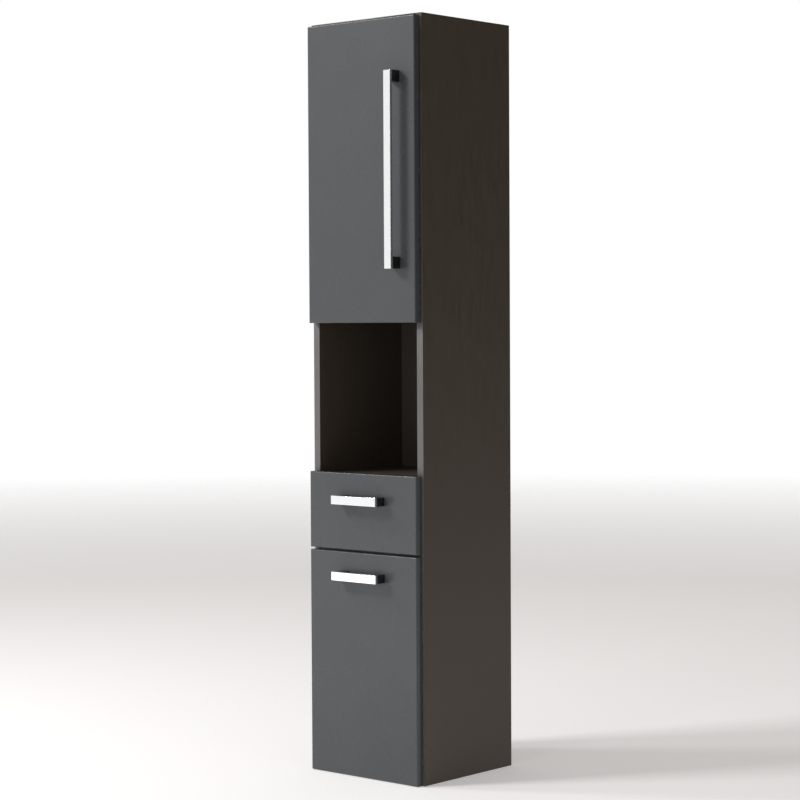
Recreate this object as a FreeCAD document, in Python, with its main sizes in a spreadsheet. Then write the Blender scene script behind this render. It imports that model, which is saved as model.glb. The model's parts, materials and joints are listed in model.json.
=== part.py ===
# Tall bathroom cabinet: a narrow carcass with an upper cupboard, an open niche, a drawer and a lower
# cupboard. X runs to the right along the fronts, Y runs to the back, Z runs up. The origin is the
# centre of the carcass's underside. All sizes are millimetres.

import FreeCAD
import Part
import Sketcher
import os
import re

Vector = FreeCAD.Vector
document = FreeCAD.newDocument("tall_bathroom_cabinet")

# --------------------------------------------------------------------------------------------------
# Driving sizes
# --------------------------------------------------------------------------------------------------

SIZES = (
    # carcass
    ("carcass_width", 300, "outside of one side panel to the outside of the other"),
    ("carcass_height", 1555, "underside to top"),
    ("carcass_depth", 281.5, "front edges of the side panels to their rear edges"),
    ("panel_thickness", 16, "coated board of the carcass"),
    ("back_thickness", 3, "hardboard back"),
    ("back_recess", 18, "carcass's rear edges to the back panel"),
    ("groove_depth", 5, "how far the back panel enters the side panels"),
    ("groove_play", 0.5, "room left at the bottom of the groove"),
    ("board_play", 0.5, "loose shelf's end to the side panel, and board's rear edge to the back panel"),
    # fronts
    ("front_thickness", 16, "doors and drawer front"),
    ("front_gap", 2.5, "back of the fronts to the carcass's front edges"),
    ("front_reveal", 4, "carcass's outer side to the front's edge"),
    ("front_rounding", 2.5, "soft edge all round a front's face"),
    ("front_spacing", 5, "between the lower door and the drawer front"),
    ("bottom_rise", 1, "carcass's underside to the lower door"),
    ("top_step", 5, "top of the upper door to the carcass's top"),
    ("lower_door_height", 463, "lower door"),
    ("drawer_front_height", 158, "drawer front"),
    ("niche_height", 309, "drawer front to upper door, the open niche between them"),
    ("niche_floor_drop", 3, "drawer front's top edge to the niche floor below it"),
    ("niche_ceiling_rise", 3, "upper door's lower edge to the niche ceiling's underside"),
    # loose shelves and their pins
    ("upper_shelf_first", 195, "upper cupboard's floor to its first shelf"),
    ("upper_shelf_step", 195, "first shelf to the second"),
    ("lower_shelf_rise", 215, "lower cupboard's floor to its shelf"),
    ("shelf_setback", 12, "front edge of a loose shelf behind the carcass's front edge"),
    ("pin_radius", 2.5, "shelf pin"),
    ("pin_length", 16, "shelf pin, half of it in the panel"),
    ("pin_setback", 37, "row of pin holes to the edge beside it"),
    ("hole_pitch", 32, "pin hole to the next one"),
    # corner fittings
    ("joint_setback", 45, "cam fitting to the edge beside it"),
    ("joint_pitch", 32, "cam fitting to the dowel beside it"),
    ("cam_radius", 7.5, "cam lock"),
    ("cam_height", 12.5, "cam lock"),
    ("cam_reach", 24, "side panel to the cam's centre"),
    ("bolt_radius", 3, "stem of the cam bolt"),
    ("bolt_neck_radius", 1.7, "neck that the cam pulls on"),
    ("thread_radius", 2.5, "cam bolt's thread in the side panel"),
    ("thread_depth", 11, "cam bolt's thread in the side panel"),
    ("cam_play", 0.3, "round the bolt inside the cam"),
    ("dowel_radius", 4, "wooden dowel"),
    ("dowel_in_side", 10, "dowel's stretch in the side panel"),
    ("dowel_in_board", 20, "dowel's stretch in the board"),
    ("dowel_end_play", 0.5, "past each end of a dowel"),
    # handles
    ("handle_projection", 29, "front's face to the outside of the bar"),
    ("handle_width", 18, "flat bar"),
    ("handle_bar", 6, "thickness of the flat bar"),
    ("handle_leg", 24, "block leg along the bar"),
    ("handle_softening", 0.8, "broken edge round the bar's outer face"),
    ("handle_inner_radius", 2, "corner between bar and leg"),
    ("long_handle", 397, "upper door's handle, end to end"),
    ("short_handle", 122, "drawer's and lower door's handles, end to end"),
    ("door_handle_inset", 48, "handle's centre line to the door's edge beside it"),
    ("drawer_handle_inset", 54, "drawer handle's centre line to the drawer front's top edge"),
    ("handle_screw_radius", 2, "screw from inside the door"),
    ("handle_screw_grip", 10, "screw's stretch in the leg"),
    ("screw_hole_play", 0.2, "round a screw in a hole that it only passes through"),
    ("pan_head_radius", 4, "pan head of the handle screws"),
    ("pan_head_height", 2.2, "pan head of the handle screws"),
    # concealed hinges, placed from the side panel's inner face, the carcass's front plane and the
    # height of the hinge
    ("hinge_inset", 90, "door's top or bottom edge to its hinge"),
    ("cup_radius", 17.5, "hinge cup, and its bore in the door"),
    ("cup_depth", 11.8, "hinge cup in the door"),
    ("cup_wall", 0.7, "pressed steel of the cup"),
    ("cup_edge", 5.5, "door's edge to the cup's bore"),
    ("flange_thickness", 0.8, "flange of the cup on the door's back"),
    ("flange_half_length", 28.5, "flange of the cup, up and down from its centre"),
    ("flange_near", 17.5, "cup's centre to the flange's side beside the door's edge"),
    ("flange_far", 14, "cup's centre to the flange's other side"),
    ("cup_screw_offset", 6, "cup's centre line to the screws, away from the door's edge"),
    ("cup_screw_spacing", 48, "one cup screw to the other"),
    ("cup_screw_radius", 1.75, "cup screw"),
    ("cup_screw_length", 10, "cup screw"),
    ("cup_head_radius", 3.2, "cup screw's head"),
    ("cup_head_height", 0.6, "cup screw's flat head above the flange"),
    ("pivot_radius", 1, "rivet pins of the links"),
    ("pivot_play", 0.05, "running fit of a link on its pin"),
    ("outer_pin_reach", 18, "side panel to the outer link's pin in the arm's nose"),
    ("outer_pin_dip", 8.1, "that pin in front of the carcass's front plane"),
    ("inner_pin_reach", 23.5, "side panel to the inner link's pin in the arm's nose"),
    ("inner_pin_dip", 5.7, "that pin in front of the carcass's front plane"),
    ("outer_cup_pin_edge", 13.86, "door's edge to the outer link's pin in the cup"),
    ("outer_cup_pin_depth", 2.84, "door's back to that pin"),
    ("inner_cup_pin_edge", 11, "door's edge to the inner link's pin in the cup"),
    ("inner_cup_pin_depth", 8.1, "door's back to that pin"),
    ("prong_length", 3.4, "how far the fork's long prong follows its pin as the door opens"),
    ("short_prong_length", 1.9, "other prong, cut short to clear the cup's floor"),
    ("slot_play", 0.35, "round the pin across the slot"),
    ("slot_wall", 0.7, "steel beside the slot"),
    ("inner_link_half", 4, "inner link, up and down from the hinge's middle"),
    ("inner_link_bar", 1.3, "half the thickness of the inner link"),
    ("inner_link_bow", 1.9, "how far the inner link bends round the cup's rim"),
    ("bow_start", 8, "inner link's pin in the arm to the start of the bow"),
    ("bow_end", 17, "inner link's pin in the arm to the end of the bow"),
    ("cheek_inner", 4.6, "hinge's middle to the arm's cheek"),
    ("cheek_thickness", 1.8, "arm's cheeks, arm's web and the outer link's plates"),
    ("plate_stand", 0.6, "arm's cheek to the outer link's plate"),
    ("outer_link_bar", 1.6, "half the width of the outer link's plates"),
    ("outer_boss", 2.2, "rounded ends of the outer link's plates"),
    ("boss_radius", 2.2, "rounded end of the inner link and of the arm's nose"),
    ("rivet_head", 0.6, "how far the arm's short rivets stand out of the outer link"),
    ("ear_start", 9.6, "hinge's middle to the ears in the cup that hold its rivets"),
    ("ear_wall", 0.8, "ear's steel beside a rivet"),
    ("ear_drop", 0.5, "door's back to the ears"),
    ("notch_play", 0.3, "notch in the cup's rim beside an outer link's plate"),
    ("notch_reach", 16.2, "cup's centre to the far side of that notch"),
    ("notch_width", 3, "that notch, towards the cup's centre"),
    ("notch_depth", 1.5, "that notch, from the flange's top"),
    ("arm_length", 62, "carcass's front plane to the arm's rear end"),
    ("arm_height", 12, "side panel to the top of the arm"),
    ("web_start", 26, "carcass's front plane to the arm's web"),
    ("cheek_lift", 2.2, "side panel to the cheeks' lower edge"),
    ("knee_rear", 22, "carcass's front plane to where the cheeks' lower edge starts to rise"),
    ("knee_lift", 6, "side panel to the lower edge's knee"),
    ("knee_front", 14, "carcass's front plane to the lower edge's knee"),
    ("throat_lift", 13.5, "side panel to the throat beside the door's edge"),
    ("throat_front", 4, "carcass's front plane to the throat"),
    ("crown_reach", 22, "side panel to the cheeks' upper edge above the knee"),
    ("crown_front", 14, "carcass's front plane to that edge"),
    ("plate_thickness", 1.5, "mounting plate's wings"),
    ("plate_wing", 24, "mounting plate's wings, up and down from its middle"),
    ("plate_wing_width", 16, "mounting plate's wings"),
    ("plate_corner", 5, "mounting plate's rounded corners"),
    ("plate_setback", 37, "carcass's front plane to the plate's screws"),
    ("plate_screw_spacing", 32, "one plate screw to the other"),
    ("plate_screw_radius", 2.5, "plate screw"),
    ("plate_screw_length", 11, "plate screw in the side panel"),
    ("block_play", 0.1, "plate's middle block to the arm's cheek"),
    ("arm_screw_front", 33, "carcass's front plane to the side adjusting screw"),
    ("arm_screw_rear", 54, "carcass's front plane to the clamping screw"),
    ("arm_screw_radius", 2, "arm's screws"),
    ("arm_screw_length", 6, "arm's screws in the plate's block"),
    ("arm_head_radius", 3.4, "arm's screw heads"),
    ("arm_head_height", 1.6, "arm's screw heads"),
    # bumpers
    ("bumper_radius", 3.5, "soft pad behind a front"),
    ("bumper_height", 2.3, "soft pad behind a front"),
    ("bumper_inset", 22, "pad to the front's upper or lower edge"),
    # drawer box and its slides
    ("box_thickness", 12, "drawer's sides, inner front and back"),
    ("box_height", 100, "drawer's sides"),
    ("box_length", 250, "drawer's sides"),
    ("box_lift", 12, "divider below the drawer to the drawer's sides"),
    ("box_bottom_thickness", 3, "drawer's bottom"),
    ("box_bottom_rise", 9, "lower edge of the drawer's sides to the bottom"),
    ("box_groove", 6, "how far the drawer's bottom enters the boards round it"),
    ("slide_width", 12.7, "side panel to the drawer's side"),
    ("slide_height", 45.5, "slide's cabinet rail"),
    ("slide_length", 250, "slide's cabinet rail"),
    ("runner_length", 240, "slide's runner on the drawer's side"),
    ("slide_steel", 1.2, "sheet steel of the slides"),
    ("slide_play", 0.08, "between one member's flange and the next"),
    ("slide_setback", 3, "carcass's front plane to the slide"),
    ("middle_length", 240, "slide's middle member"),
    ("slide_rise", 20, "lower edge of the drawer's sides to the slide's centre line"),
    ("rail_depth", 10.4, "side panel to the cabinet rail's lips"),
    ("rail_lip", 3.2, "height of the cabinet rail's lips"),
    ("middle_stand", 3.4, "side panel to the middle member"),
    ("middle_depth", 5.6, "middle member"),
    ("middle_lip", 3.6, "height of the middle member's lips"),
    ("runner_brim", 6.4, "side panel to the drawer member's brims"),
    ("runner_half", 16.5, "half the height of the drawer member's crown"),
    ("slide_screw_radius", 1.75, "screws of the slides and of the drawer front"),
    ("slide_screw_length", 10.5, "slide screw"),
    ("slide_head_radius", 3.2, "slide screw"),
    ("slide_head_height", 1.8, "slide screw"),
    ("slide_screw_front", 35, "slide's front end to its first screw"),
    ("slide_screw_pitch", 160, "first slide screw to the second"),
    ("front_screw_length", 24, "screw through the drawer's inner front into the drawer front"),
    ("front_screw_inset", 36, "drawer side's outer face to that screw"),
    ("front_screw_low", 25, "lower edge of the drawer's sides to the lower screws"),
    ("front_screw_high", 75, "lower edge of the drawer's sides to the upper screws"),
    ("box_dowel_radius", 3, "dowel of the drawer's corners"),
    ("box_dowel_in_side", 8, "its stretch in the drawer's side"),
    ("box_dowel_in_board", 16, "its stretch in the inner front or the back"),
    ("box_dowel_low", 35, "lower edge of the drawer's sides to the lower dowel"),
    ("box_dowel_high", 80, "lower edge of the drawer's sides to the upper dowel"),
    # wall fixing
    ("rail_length", 264, "wall rail"),
    ("rail_steel", 1.5, "wall rail"),
    ("rail_foot", 30, "wall rail's lower flange, flat on the wall"),
    ("rail_upstand", 20, "wall rail's upper flange, which the hooks hold"),
    ("rail_standoff", 5, "wall to the upper flange"),
    ("rail_hole_spacing", 200, "one wall screw to the other"),
    ("rail_hole_radius", 2.75, "hole for the wall screw"),
    ("hanger_width", 17, "hanger inside the carcass, across"),
    ("hanger_length", 44, "hanger inside the carcass, front to back"),
    ("hanger_height", 50, "hanger inside the carcass"),
    ("hanger_crown", 13, "top of the wall rail to the hanger's top"),
    ("hanger_drop", 18, "top panel's underside to the top of the wall rail"),
    ("hanger_softening", 3, "moulded edges of the hanger"),
    ("hook_width", 12, "hanger's steel hook"),
    ("hook_steel", 2.2, "hanger's steel hook"),
    ("hook_lift", 0.3, "top of the wall rail to the hook"),
    ("hook_drop", 12, "how far the hook reaches down behind the rail"),
    ("hook_play", 0.4, "hook to the rail, front to back"),
    ("window_play", 3, "back panel's window round the hook"),
    ("hanger_screw_radius", 2, "screw through the hanger into the side panel"),
    ("hanger_screw_grip", 11, "that screw's stretch in the side panel"),
    ("hanger_screw_inset", 10, "screw to the hanger's corner"),
)

# Places and lengths that follow from the driving sizes
DERIVED = {
    "half_inside": "carcass_width / 2 - panel_thickness",
    "inside_width": "carcass_width - 2 * panel_thickness",
    "front_plane": "-carcass_depth / 2",
    "fronts_back": "front_plane - front_gap",
    "fronts_face": "fronts_back - front_thickness",
    "back_distance": "carcass_depth - back_recess - back_thickness",
    "board_depth": "back_distance - board_play",
    "front_width": "carcass_width - 2 * front_reveal",
    "lower_door_top": "bottom_rise + lower_door_height",
    "drawer_bottom": "lower_door_top + front_spacing",
    "drawer_top": "drawer_bottom + drawer_front_height",
    "upper_door_bottom": "drawer_top + niche_height",
    "upper_door_height": "carcass_height - top_step - upper_door_bottom",
    "divider_z": "lower_door_top + front_spacing / 2 - panel_thickness / 2",
    "niche_floor_z": "drawer_top - niche_floor_drop - panel_thickness",
    "niche_ceiling_z": "upper_door_bottom + niche_ceiling_rise",
    "top_panel_z": "carcass_height - panel_thickness",
    "upper_shelf_low_z": "niche_ceiling_z + panel_thickness + upper_shelf_first",
    "upper_shelf_high_z": "upper_shelf_low_z + upper_shelf_step",
    "lower_shelf_z": "panel_thickness + lower_shelf_rise",
    "shelf_depth": "board_depth - shelf_setback",
    "pin_row_back": "back_distance - pin_setback",
    "upper_hinge_low": "upper_door_bottom + hinge_inset",
    "upper_hinge_high": "carcass_height - top_step - hinge_inset",
    "lower_hinge_low": "bottom_rise + hinge_inset",
    "lower_hinge_high": "lower_door_top - hinge_inset",
    "door_edge": "panel_thickness - front_reveal",
    "cup_centre": "cup_edge + cup_radius",
    "outer_cup_pin_y": "front_gap + outer_cup_pin_depth",
    "inner_cup_pin_y": "front_gap + inner_cup_pin_depth",
    "outer_rise": "outer_pin_dip - outer_cup_pin_y",
    "outer_run": "outer_pin_reach - outer_cup_pin_edge + door_edge",
    "outer_link_length": "sqrt(outer_run ^ 2 + outer_rise ^ 2)",
    "inner_rise": "inner_pin_dip - inner_cup_pin_y",
    "inner_run": "inner_pin_reach - inner_cup_pin_edge + door_edge",
    "inner_link_length": "sqrt(inner_run ^ 2 + inner_rise ^ 2)",
    "cheek_outer": "cheek_inner + cheek_thickness",
    "link_plate": "cheek_outer + plate_stand",
    "handle_leg_centre": "handle_leg / 2",
    "box_z": "divider_z + panel_thickness + box_lift",
    "box_half": "half_inside - slide_width",
    "box_inside": "2 * (box_half - box_thickness)",
    "slide_z": "box_z + slide_rise",
    "middle_half": "slide_height / 2 - slide_steel - slide_play",
    "brim_half": "middle_half - slide_steel - slide_play",
    "wall_plane": "carcass_depth / 2",
    "rail_top": "top_panel_z - hanger_drop",
    "rail_height": "rail_foot + rail_upstand",
    "hanger_x": "half_inside - hanger_width / 2",
    "hanger_back": "back_recess + back_thickness",
    "hook_back": "rail_standoff - hook_play",
}

sheet = document.addObject("Spreadsheet::Sheet", "Sizes")
for row, (alias, number, note) in enumerate(SIZES, start=1):
    sheet.set(f"A{row}", note)
    sheet.set(f"B{row}", str(number))
    sheet.setAlias(f"B{row}", alias)
ALIASES = {alias for alias, _, _ in SIZES}
document.recompute()


def bound(text):
    """Spell a formula out until it only names cells of the sheet."""

    def spelled(match):
        word = match.group()
        if word in DERIVED:
            return f"({bound(DERIVED[word])})"
        return f"Sizes.{word}" if word in ALIASES else word

    return re.sub(r"[a-z][a-z_0-9]*", spelled, text)


def value(text):
    """The number that a formula gives now."""
    return float(sheet.evalExpression(bound(text)))


def bind(thing, quantity, text):
    """Tie one quantity of an object to a formula of the sheet's sizes."""
    thing.setExpression(quantity, bound(text))


def put(thing, x, y, z):
    """Tie an object's place to three formulas."""
    for axis, text in zip("xyz", (x, y, z)):
        bind(thing, f".Placement.Base.{axis}", text)


# --------------------------------------------------------------------------------------------------
# Ways of making a piece
# --------------------------------------------------------------------------------------------------


def new_body(label, x="0", y="0", z="0", turn=None):
    """An empty body whose own origin stands at a place."""
    body = document.addObject("PartDesign::Body", label)
    body.Label = label
    if turn:
        body.Placement = FreeCAD.Placement(Vector(), turn)
    put(body, x, y, z)
    return body


def sketch_on(body, plane, lift="0"):
    """A sketch on one of the body's own planes, lifted along the plane's normal."""
    sketch = body.newObject("Sketcher::SketchObject", f"{body.Name}_outline")
    support = [part for part in body.Origin.OriginFeatures if part.Role == f"{plane}_Plane"][0]
    sketch.AttachmentSupport = [(support, "")]
    sketch.MapMode = "FlatFace"
    bind(sketch, ".AttachmentOffset.Base.z", lift)
    return sketch


def pin_down(sketch, kind, index, point, text):
    """Fix one coordinate of a point of the sketch to a formula."""
    row = sketch.addConstraint(Sketcher.Constraint(kind, index, point, value(text)))
    bind(sketch, f"Constraints[{row}]", text)


def polygon(sketch, corners):
    """A closed outline through corners given as pairs of formulas."""
    points = [Vector(value(x), value(y), 0) for x, y in corners]
    first = sketch.GeometryCount
    count = len(points)
    for index, start in enumerate(points):
        sketch.addGeometry(Part.LineSegment(start, points[(index + 1) % count]), False)
    for index in range(count):
        following = first + (index + 1) % count
        sketch.addConstraint(Sketcher.Constraint("Coincident", first + index, 2, following, 1))
    for index, (x, y) in enumerate(corners):
        pin_down(sketch, "DistanceX", first + index, 1, x)
        pin_down(sketch, "DistanceY", first + index, 1, y)


def rectangle(sketch, left, low, right, high):
    """A rectangle between two opposite corners."""
    polygon(sketch, [(left, low), (right, low), (right, high), (left, high)])


def circles(sketch, centres, radius):
    """Circles of one radius round centres given as pairs of formulas."""
    for x, y in centres:
        centre = Vector(value(x), value(y), 0)
        index = sketch.addGeometry(Part.Circle(centre, Vector(0, 0, 1), value(radius)), False)
        pin_down(sketch, "DistanceX", index, 3, x)
        pin_down(sketch, "DistanceY", index, 3, y)
        row = sketch.addConstraint(Sketcher.Constraint("Radius", index, value(radius)))
        bind(sketch, f"Constraints[{row}]", radius)


def pad(body, sketch, length, backwards=False, midplane=False):
    """Raise the sketch's outline into a solid, or add it to the body's solid."""
    feature = body.newObject("PartDesign::Pad", f"{body.Name}_pad")
    feature.Profile = sketch
    feature.Reversed = backwards
    feature.Midplane = midplane
    bind(feature, "Length", length)
    return feature


def pocket(body, sketch, depth, backwards=False, midplane=False):
    """Cut the sketch's outline out of the body, and make sure that something was cut."""
    document.recompute()
    before = body.Shape.Volume
    feature = body.newObject("PartDesign::Pocket", f"{body.Name}_pocket")
    feature.Profile = sketch
    feature.Reversed = backwards
    feature.Midplane = midplane
    bind(feature, "Length", depth)
    document.recompute()
    if body.Shape.Volume > before - 0.01:
        raise RuntimeError(f"the pocket {feature.Name} cuts nothing")
    return feature


def round_edges(body, radius, chosen):
    """Round the edges that the test picks by their middle point and direction."""
    document.recompute()
    solid = body.Tip
    names = []
    for index, edge in enumerate(solid.Shape.Edges, start=1):
        middle = edge.valueAt((edge.FirstParameter + edge.LastParameter) / 2)
        along = edge.tangentAt(edge.FirstParameter)
        if chosen(middle, along):
            names.append(f"Edge{index}")
    feature = body.newObject("PartDesign::Fillet", f"{body.Name}_rounding")
    feature.Base = (solid, names)
    bind(feature, "Radius", radius)
    return feature


def revolve(body, corners):
    """Turn a profile of radius and height pairs round the body's own Z axis."""
    sketch = sketch_on(body, "XZ")
    polygon(sketch, corners)
    feature = body.newObject("PartDesign::Revolution", f"{body.Name}_turning")
    feature.Profile = sketch
    feature.ReferenceAxis = (sketch, ["V_Axis"])
    feature.Angle = 360
    return feature


def pattern(label):
    """The one piece that a group's copies repeat. It stands at the origin and is not a node itself."""
    return new_body(f"one_{label}")


def group(label, *sets):
    """One node of loose pieces. Each set is a pattern piece and its spots. A spot is three formulas and
    a turn, or a formula for the angle about the upright."""
    copies = []
    for piece, spots in sets:
        for x, y, z, turn in spots:
            copy = document.addObject("App::Link", f"{label}_{len(copies) + 1}")
            copy.LinkedObject = piece
            if isinstance(turn, str):
                copy.Placement = FreeCAD.Placement(Vector(), FreeCAD.Rotation(Vector(0, 0, 1), 90))
                bind(copy, ".Placement.Rotation.Angle", turn)
            else:
                copy.Placement = FreeCAD.Placement(Vector(), turn)
            put(copy, x, y, z)
            copies.append(copy)
    node = document.addObject("Part::Compound", label)
    node.Label = label
    node.Links = copies
    nodes.append(node)
    return node


def near(number, other):
    """Whether two lengths are the same."""
    return abs(number - other) < 0.01


# Turns for pieces that are drawn upright: the way that their heads face
UPRIGHT = FreeCAD.Rotation()
FACING_RIGHT = FreeCAD.Rotation(Vector(0, 0, 1), Vector(1, 0, 0))
FACING_LEFT = FreeCAD.Rotation(Vector(0, 0, 1), Vector(-1, 0, 0))
FACING_BACK = FreeCAD.Rotation(Vector(0, 0, 1), Vector(0, 1, 0))
HALF_TURN = FreeCAD.Rotation(Vector(0, 0, 1), 180)
UPSIDE_DOWN = FreeCAD.Rotation(Vector(1, 0, 0), 180)
ON_END = FreeCAD.Rotation(Vector(0, 1, 0), -90)

nodes = []

# --------------------------------------------------------------------------------------------------
# Carcass boards
# --------------------------------------------------------------------------------------------------

# Fixed boards between the side panels: name, height of the underside, depth, cams let in from above
FIXED_BOARDS = (
    ("bottom_panel", "0", "carcass_depth", False),
    ("drawer_divider", "divider_z", "board_depth", False),
    ("niche_floor", "niche_floor_z", "board_depth", False),
    ("niche_ceiling", "niche_ceiling_z", "board_depth", True),
    ("top_panel", "top_panel_z", "carcass_depth", True),
)

LOOSE_SHELVES = (
    ("upper_shelf_low", "upper_shelf_low_z"),
    ("upper_shelf_high", "upper_shelf_high_z"),
    ("lower_shelf", "lower_shelf_z"),
)


def cam_rows(depth):
    """Distances of the two cam fittings from a board's front edge."""
    return "joint_setback", f"{depth} - joint_setback"


def dowel_rows(depth):
    """Distances of the two dowels from a board's front edge."""
    return "joint_setback + joint_pitch", f"{depth} - joint_setback - joint_pitch"


def board(label, x, y, z, width, depth, thickness):
    """A flat board lying level."""
    body = new_body(label, x, y, z)
    sketch = sketch_on(body, "XY")
    rectangle(sketch, "0", "0", width, depth)
    pad(body, sketch, thickness)
    nodes.append(body)
    return body


def drill_board_ends(body, depth, cams_above):
    """Holes for the cam bolts and dowels in both ends, and for the cams in one face."""
    mid = "panel_thickness / 2"
    for end, lift in ((True, "0"), (False, "inside_width")):
        sketch = sketch_on(body, "YZ", lift)
        circles(sketch, [(row, mid) for row in cam_rows(depth)], "bolt_radius")
        pocket(body, sketch, "cam_reach", backwards=end)
        sketch = sketch_on(body, "YZ", lift)
        circles(sketch, [(row, mid) for row in dowel_rows(depth)], "dowel_radius")
        pocket(body, sketch, "dowel_in_board + dowel_end_play", backwards=end)
    sketch = sketch_on(body, "XY", "panel_thickness" if cams_above else "0")
    places = [(x, row) for x in ("cam_reach", "inside_width - cam_reach") for row in cam_rows(depth)]
    circles(sketch, places, "cam_radius")
    pocket(body, sketch, "cam_height", backwards=not cams_above)


for name, level, depth, cams_above in FIXED_BOARDS:
    fixed_board = board(name, "-half_inside", "front_plane", level, "inside_width", depth, "panel_thickness")
    drill_board_ends(fixed_board, depth, cams_above)
    if depth == "carcass_depth":
        lowest = name == "bottom_panel"
        groove = sketch_on(fixed_board, "XY", "panel_thickness" if lowest else "0")
        rectangle(groove, "0", "back_distance", "inside_width", "back_distance + back_thickness")
        pocket(fixed_board, groove, "groove_depth", backwards=not lowest)

for name, level in LOOSE_SHELVES:
    board(
        name,
        "-half_inside + board_play",
        "front_plane + shelf_setback",
        level,
        "inside_width - 2 * board_play",
        "shelf_depth",
        "panel_thickness",
    )

HINGE_HEIGHTS = {
    "upper": ("upper_hinge_low", "upper_hinge_high"),
    "lower": ("lower_hinge_low", "lower_hinge_high"),
}
PIN_ROWS = ("pin_setback", "pin_row_back")
SLIDE_SCREWS = (
    "slide_setback + slide_screw_front",
    "slide_setback + slide_screw_front + slide_screw_pitch",
)
HANGER_SCREWS = (
    ("hanger_back + hanger_screw_inset", "hanger_crown - hanger_height + hanger_screw_inset"),
    ("hanger_back + hanger_length - hanger_screw_inset", "hanger_crown - hanger_screw_inset"),
)


def side_panel(label, x, inner_face, into_board, with_hinges):
    """A full-height side with its groove and every hole that a fitting needs."""
    body = new_body(label, x, "front_plane", "0")
    sketch = sketch_on(body, "XY")
    rectangle(sketch, "0", "0", "panel_thickness", "carcass_depth")
    pad(body, sketch, "carcass_height")
    holes = [
        ("thread_radius", "thread_depth", [], "bolts"),
        ("dowel_radius", "dowel_in_side + dowel_end_play", [], "dowels"),
        ("pin_radius", "pin_length / 2", [], "pins"),
        ("slide_screw_radius", "slide_screw_length - slide_steel", [], "slides"),
        ("hanger_screw_radius", "hanger_screw_grip", [], "hangers"),
        ("plate_screw_radius", "plate_screw_length", [], "hinges"),
    ]
    places = {use: spots for _, _, spots, use in holes}
    for _, level, depth, _ in FIXED_BOARDS:
        height = f"{level} + panel_thickness / 2"
        places["bolts"].extend((row, height) for row in cam_rows(depth))
        places["dowels"].extend((row, height) for row in dowel_rows(depth))
    for _, level in LOOSE_SHELVES:
        for step in ("- hole_pitch", "", "+ hole_pitch"):
            places["pins"].extend((row, f"{level} - pin_radius {step}") for row in PIN_ROWS)
    places["slides"].extend((row, "slide_z") for row in SLIDE_SCREWS)
    places["hangers"].extend((f"carcass_depth - ({y})", f"rail_top + {z}") for y, z in HANGER_SCREWS)
    if with_hinges:
        for level in HINGE_HEIGHTS["upper"] + HINGE_HEIGHTS["lower"]:
            for side in "+-":
                places["hinges"].append(("plate_setback", f"{level} {side} plate_screw_spacing / 2"))
    for radius, depth, spots, _ in holes:
        if spots:
            sketch = sketch_on(body, "YZ", inner_face)
            circles(sketch, spots, radius)
            pocket(body, sketch, depth, backwards=into_board)
    sketch = sketch_on(body, "YZ", inner_face)
    rectangle(sketch, "back_distance", "0", "back_distance + back_thickness", "carcass_height")
    pocket(body, sketch, "groove_depth", backwards=into_board)
    nodes.append(body)


side_panel("side_panel_left", "-carcass_width / 2", "panel_thickness", False, True)
side_panel("side_panel_right", "half_inside", "0", True, False)

# The back slides down in the grooves. Two windows let the hangers' hooks through to the wall rail.
back = new_body("back_panel", "0", "wall_plane - back_recess", "0")
back_outline = sketch_on(back, "XZ")
back_reach = "half_inside + groove_depth - groove_play"
rectangle(
    back_outline,
    f"-({back_reach})",
    "panel_thickness - groove_depth + groove_play",
    back_reach,
    "top_panel_z + groove_depth - groove_play",
)
pad(back, back_outline, "back_thickness")
windows = sketch_on(back, "XZ")
for side in "-+":
    rectangle(
        windows,
        f"{side} hanger_x - hook_width / 2 - window_play",
        "rail_top - hook_drop - window_play",
        f"{side} hanger_x + hook_width / 2 + window_play",
        "rail_top + hook_lift + hook_steel + window_play",
    )
pocket(back, windows, "4 * back_thickness", midplane=True)
nodes.append(back)

# --------------------------------------------------------------------------------------------------
# Corner fittings and shelf pins
# --------------------------------------------------------------------------------------------------

# A cam lock: a drum with a cross recess in its face and a hole that takes the bolt's head
cam = pattern("cam_lock")
cam_outline = sketch_on(cam, "XY")
circles(cam_outline, [("0", "0")], "cam_radius")
pad(cam, cam_outline, "cam_height")
for long_side, short_side in (("cam_radius / 2", "thread_radius / 4"), ("thread_radius / 4", "cam_radius / 2")):
    cam_recess = sketch_on(cam, "XY")
    rectangle(cam_recess, f"-{long_side}", f"-{short_side}", long_side, short_side)
    pocket(cam, cam_recess, "cam_height / 6", backwards=True)
cam_mouth = sketch_on(cam, "YZ", "cam_play")
circles(cam_mouth, [("0", "panel_thickness / 2")], "bolt_radius + cam_play")
pocket(cam, cam_mouth, "2 * cam_radius")

# A cam bolt: thread in the side panel, stem, neck and head in the cam
cam_bolt = pattern("cam_bolt")
revolve(
    cam_bolt,
    [
        ("0", "-thread_depth"),
        ("thread_radius", "-thread_depth"),
        ("thread_radius", "0"),
        ("bolt_radius", "0"),
        ("bolt_radius", "cam_reach - cam_radius"),
        ("bolt_neck_radius", "cam_reach - cam_radius"),
        ("bolt_neck_radius", "cam_reach - bolt_radius"),
        ("bolt_radius", "cam_reach - bolt_radius"),
        ("bolt_radius", "cam_reach"),
        ("0", "cam_reach"),
    ],
)

dowel = pattern("wood_dowel")
dowel_outline = sketch_on(dowel, "XY", "-dowel_in_side")
circles(dowel_outline, [("0", "0")], "dowel_radius")
pad(dowel, dowel_outline, "dowel_in_side + dowel_in_board")

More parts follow.
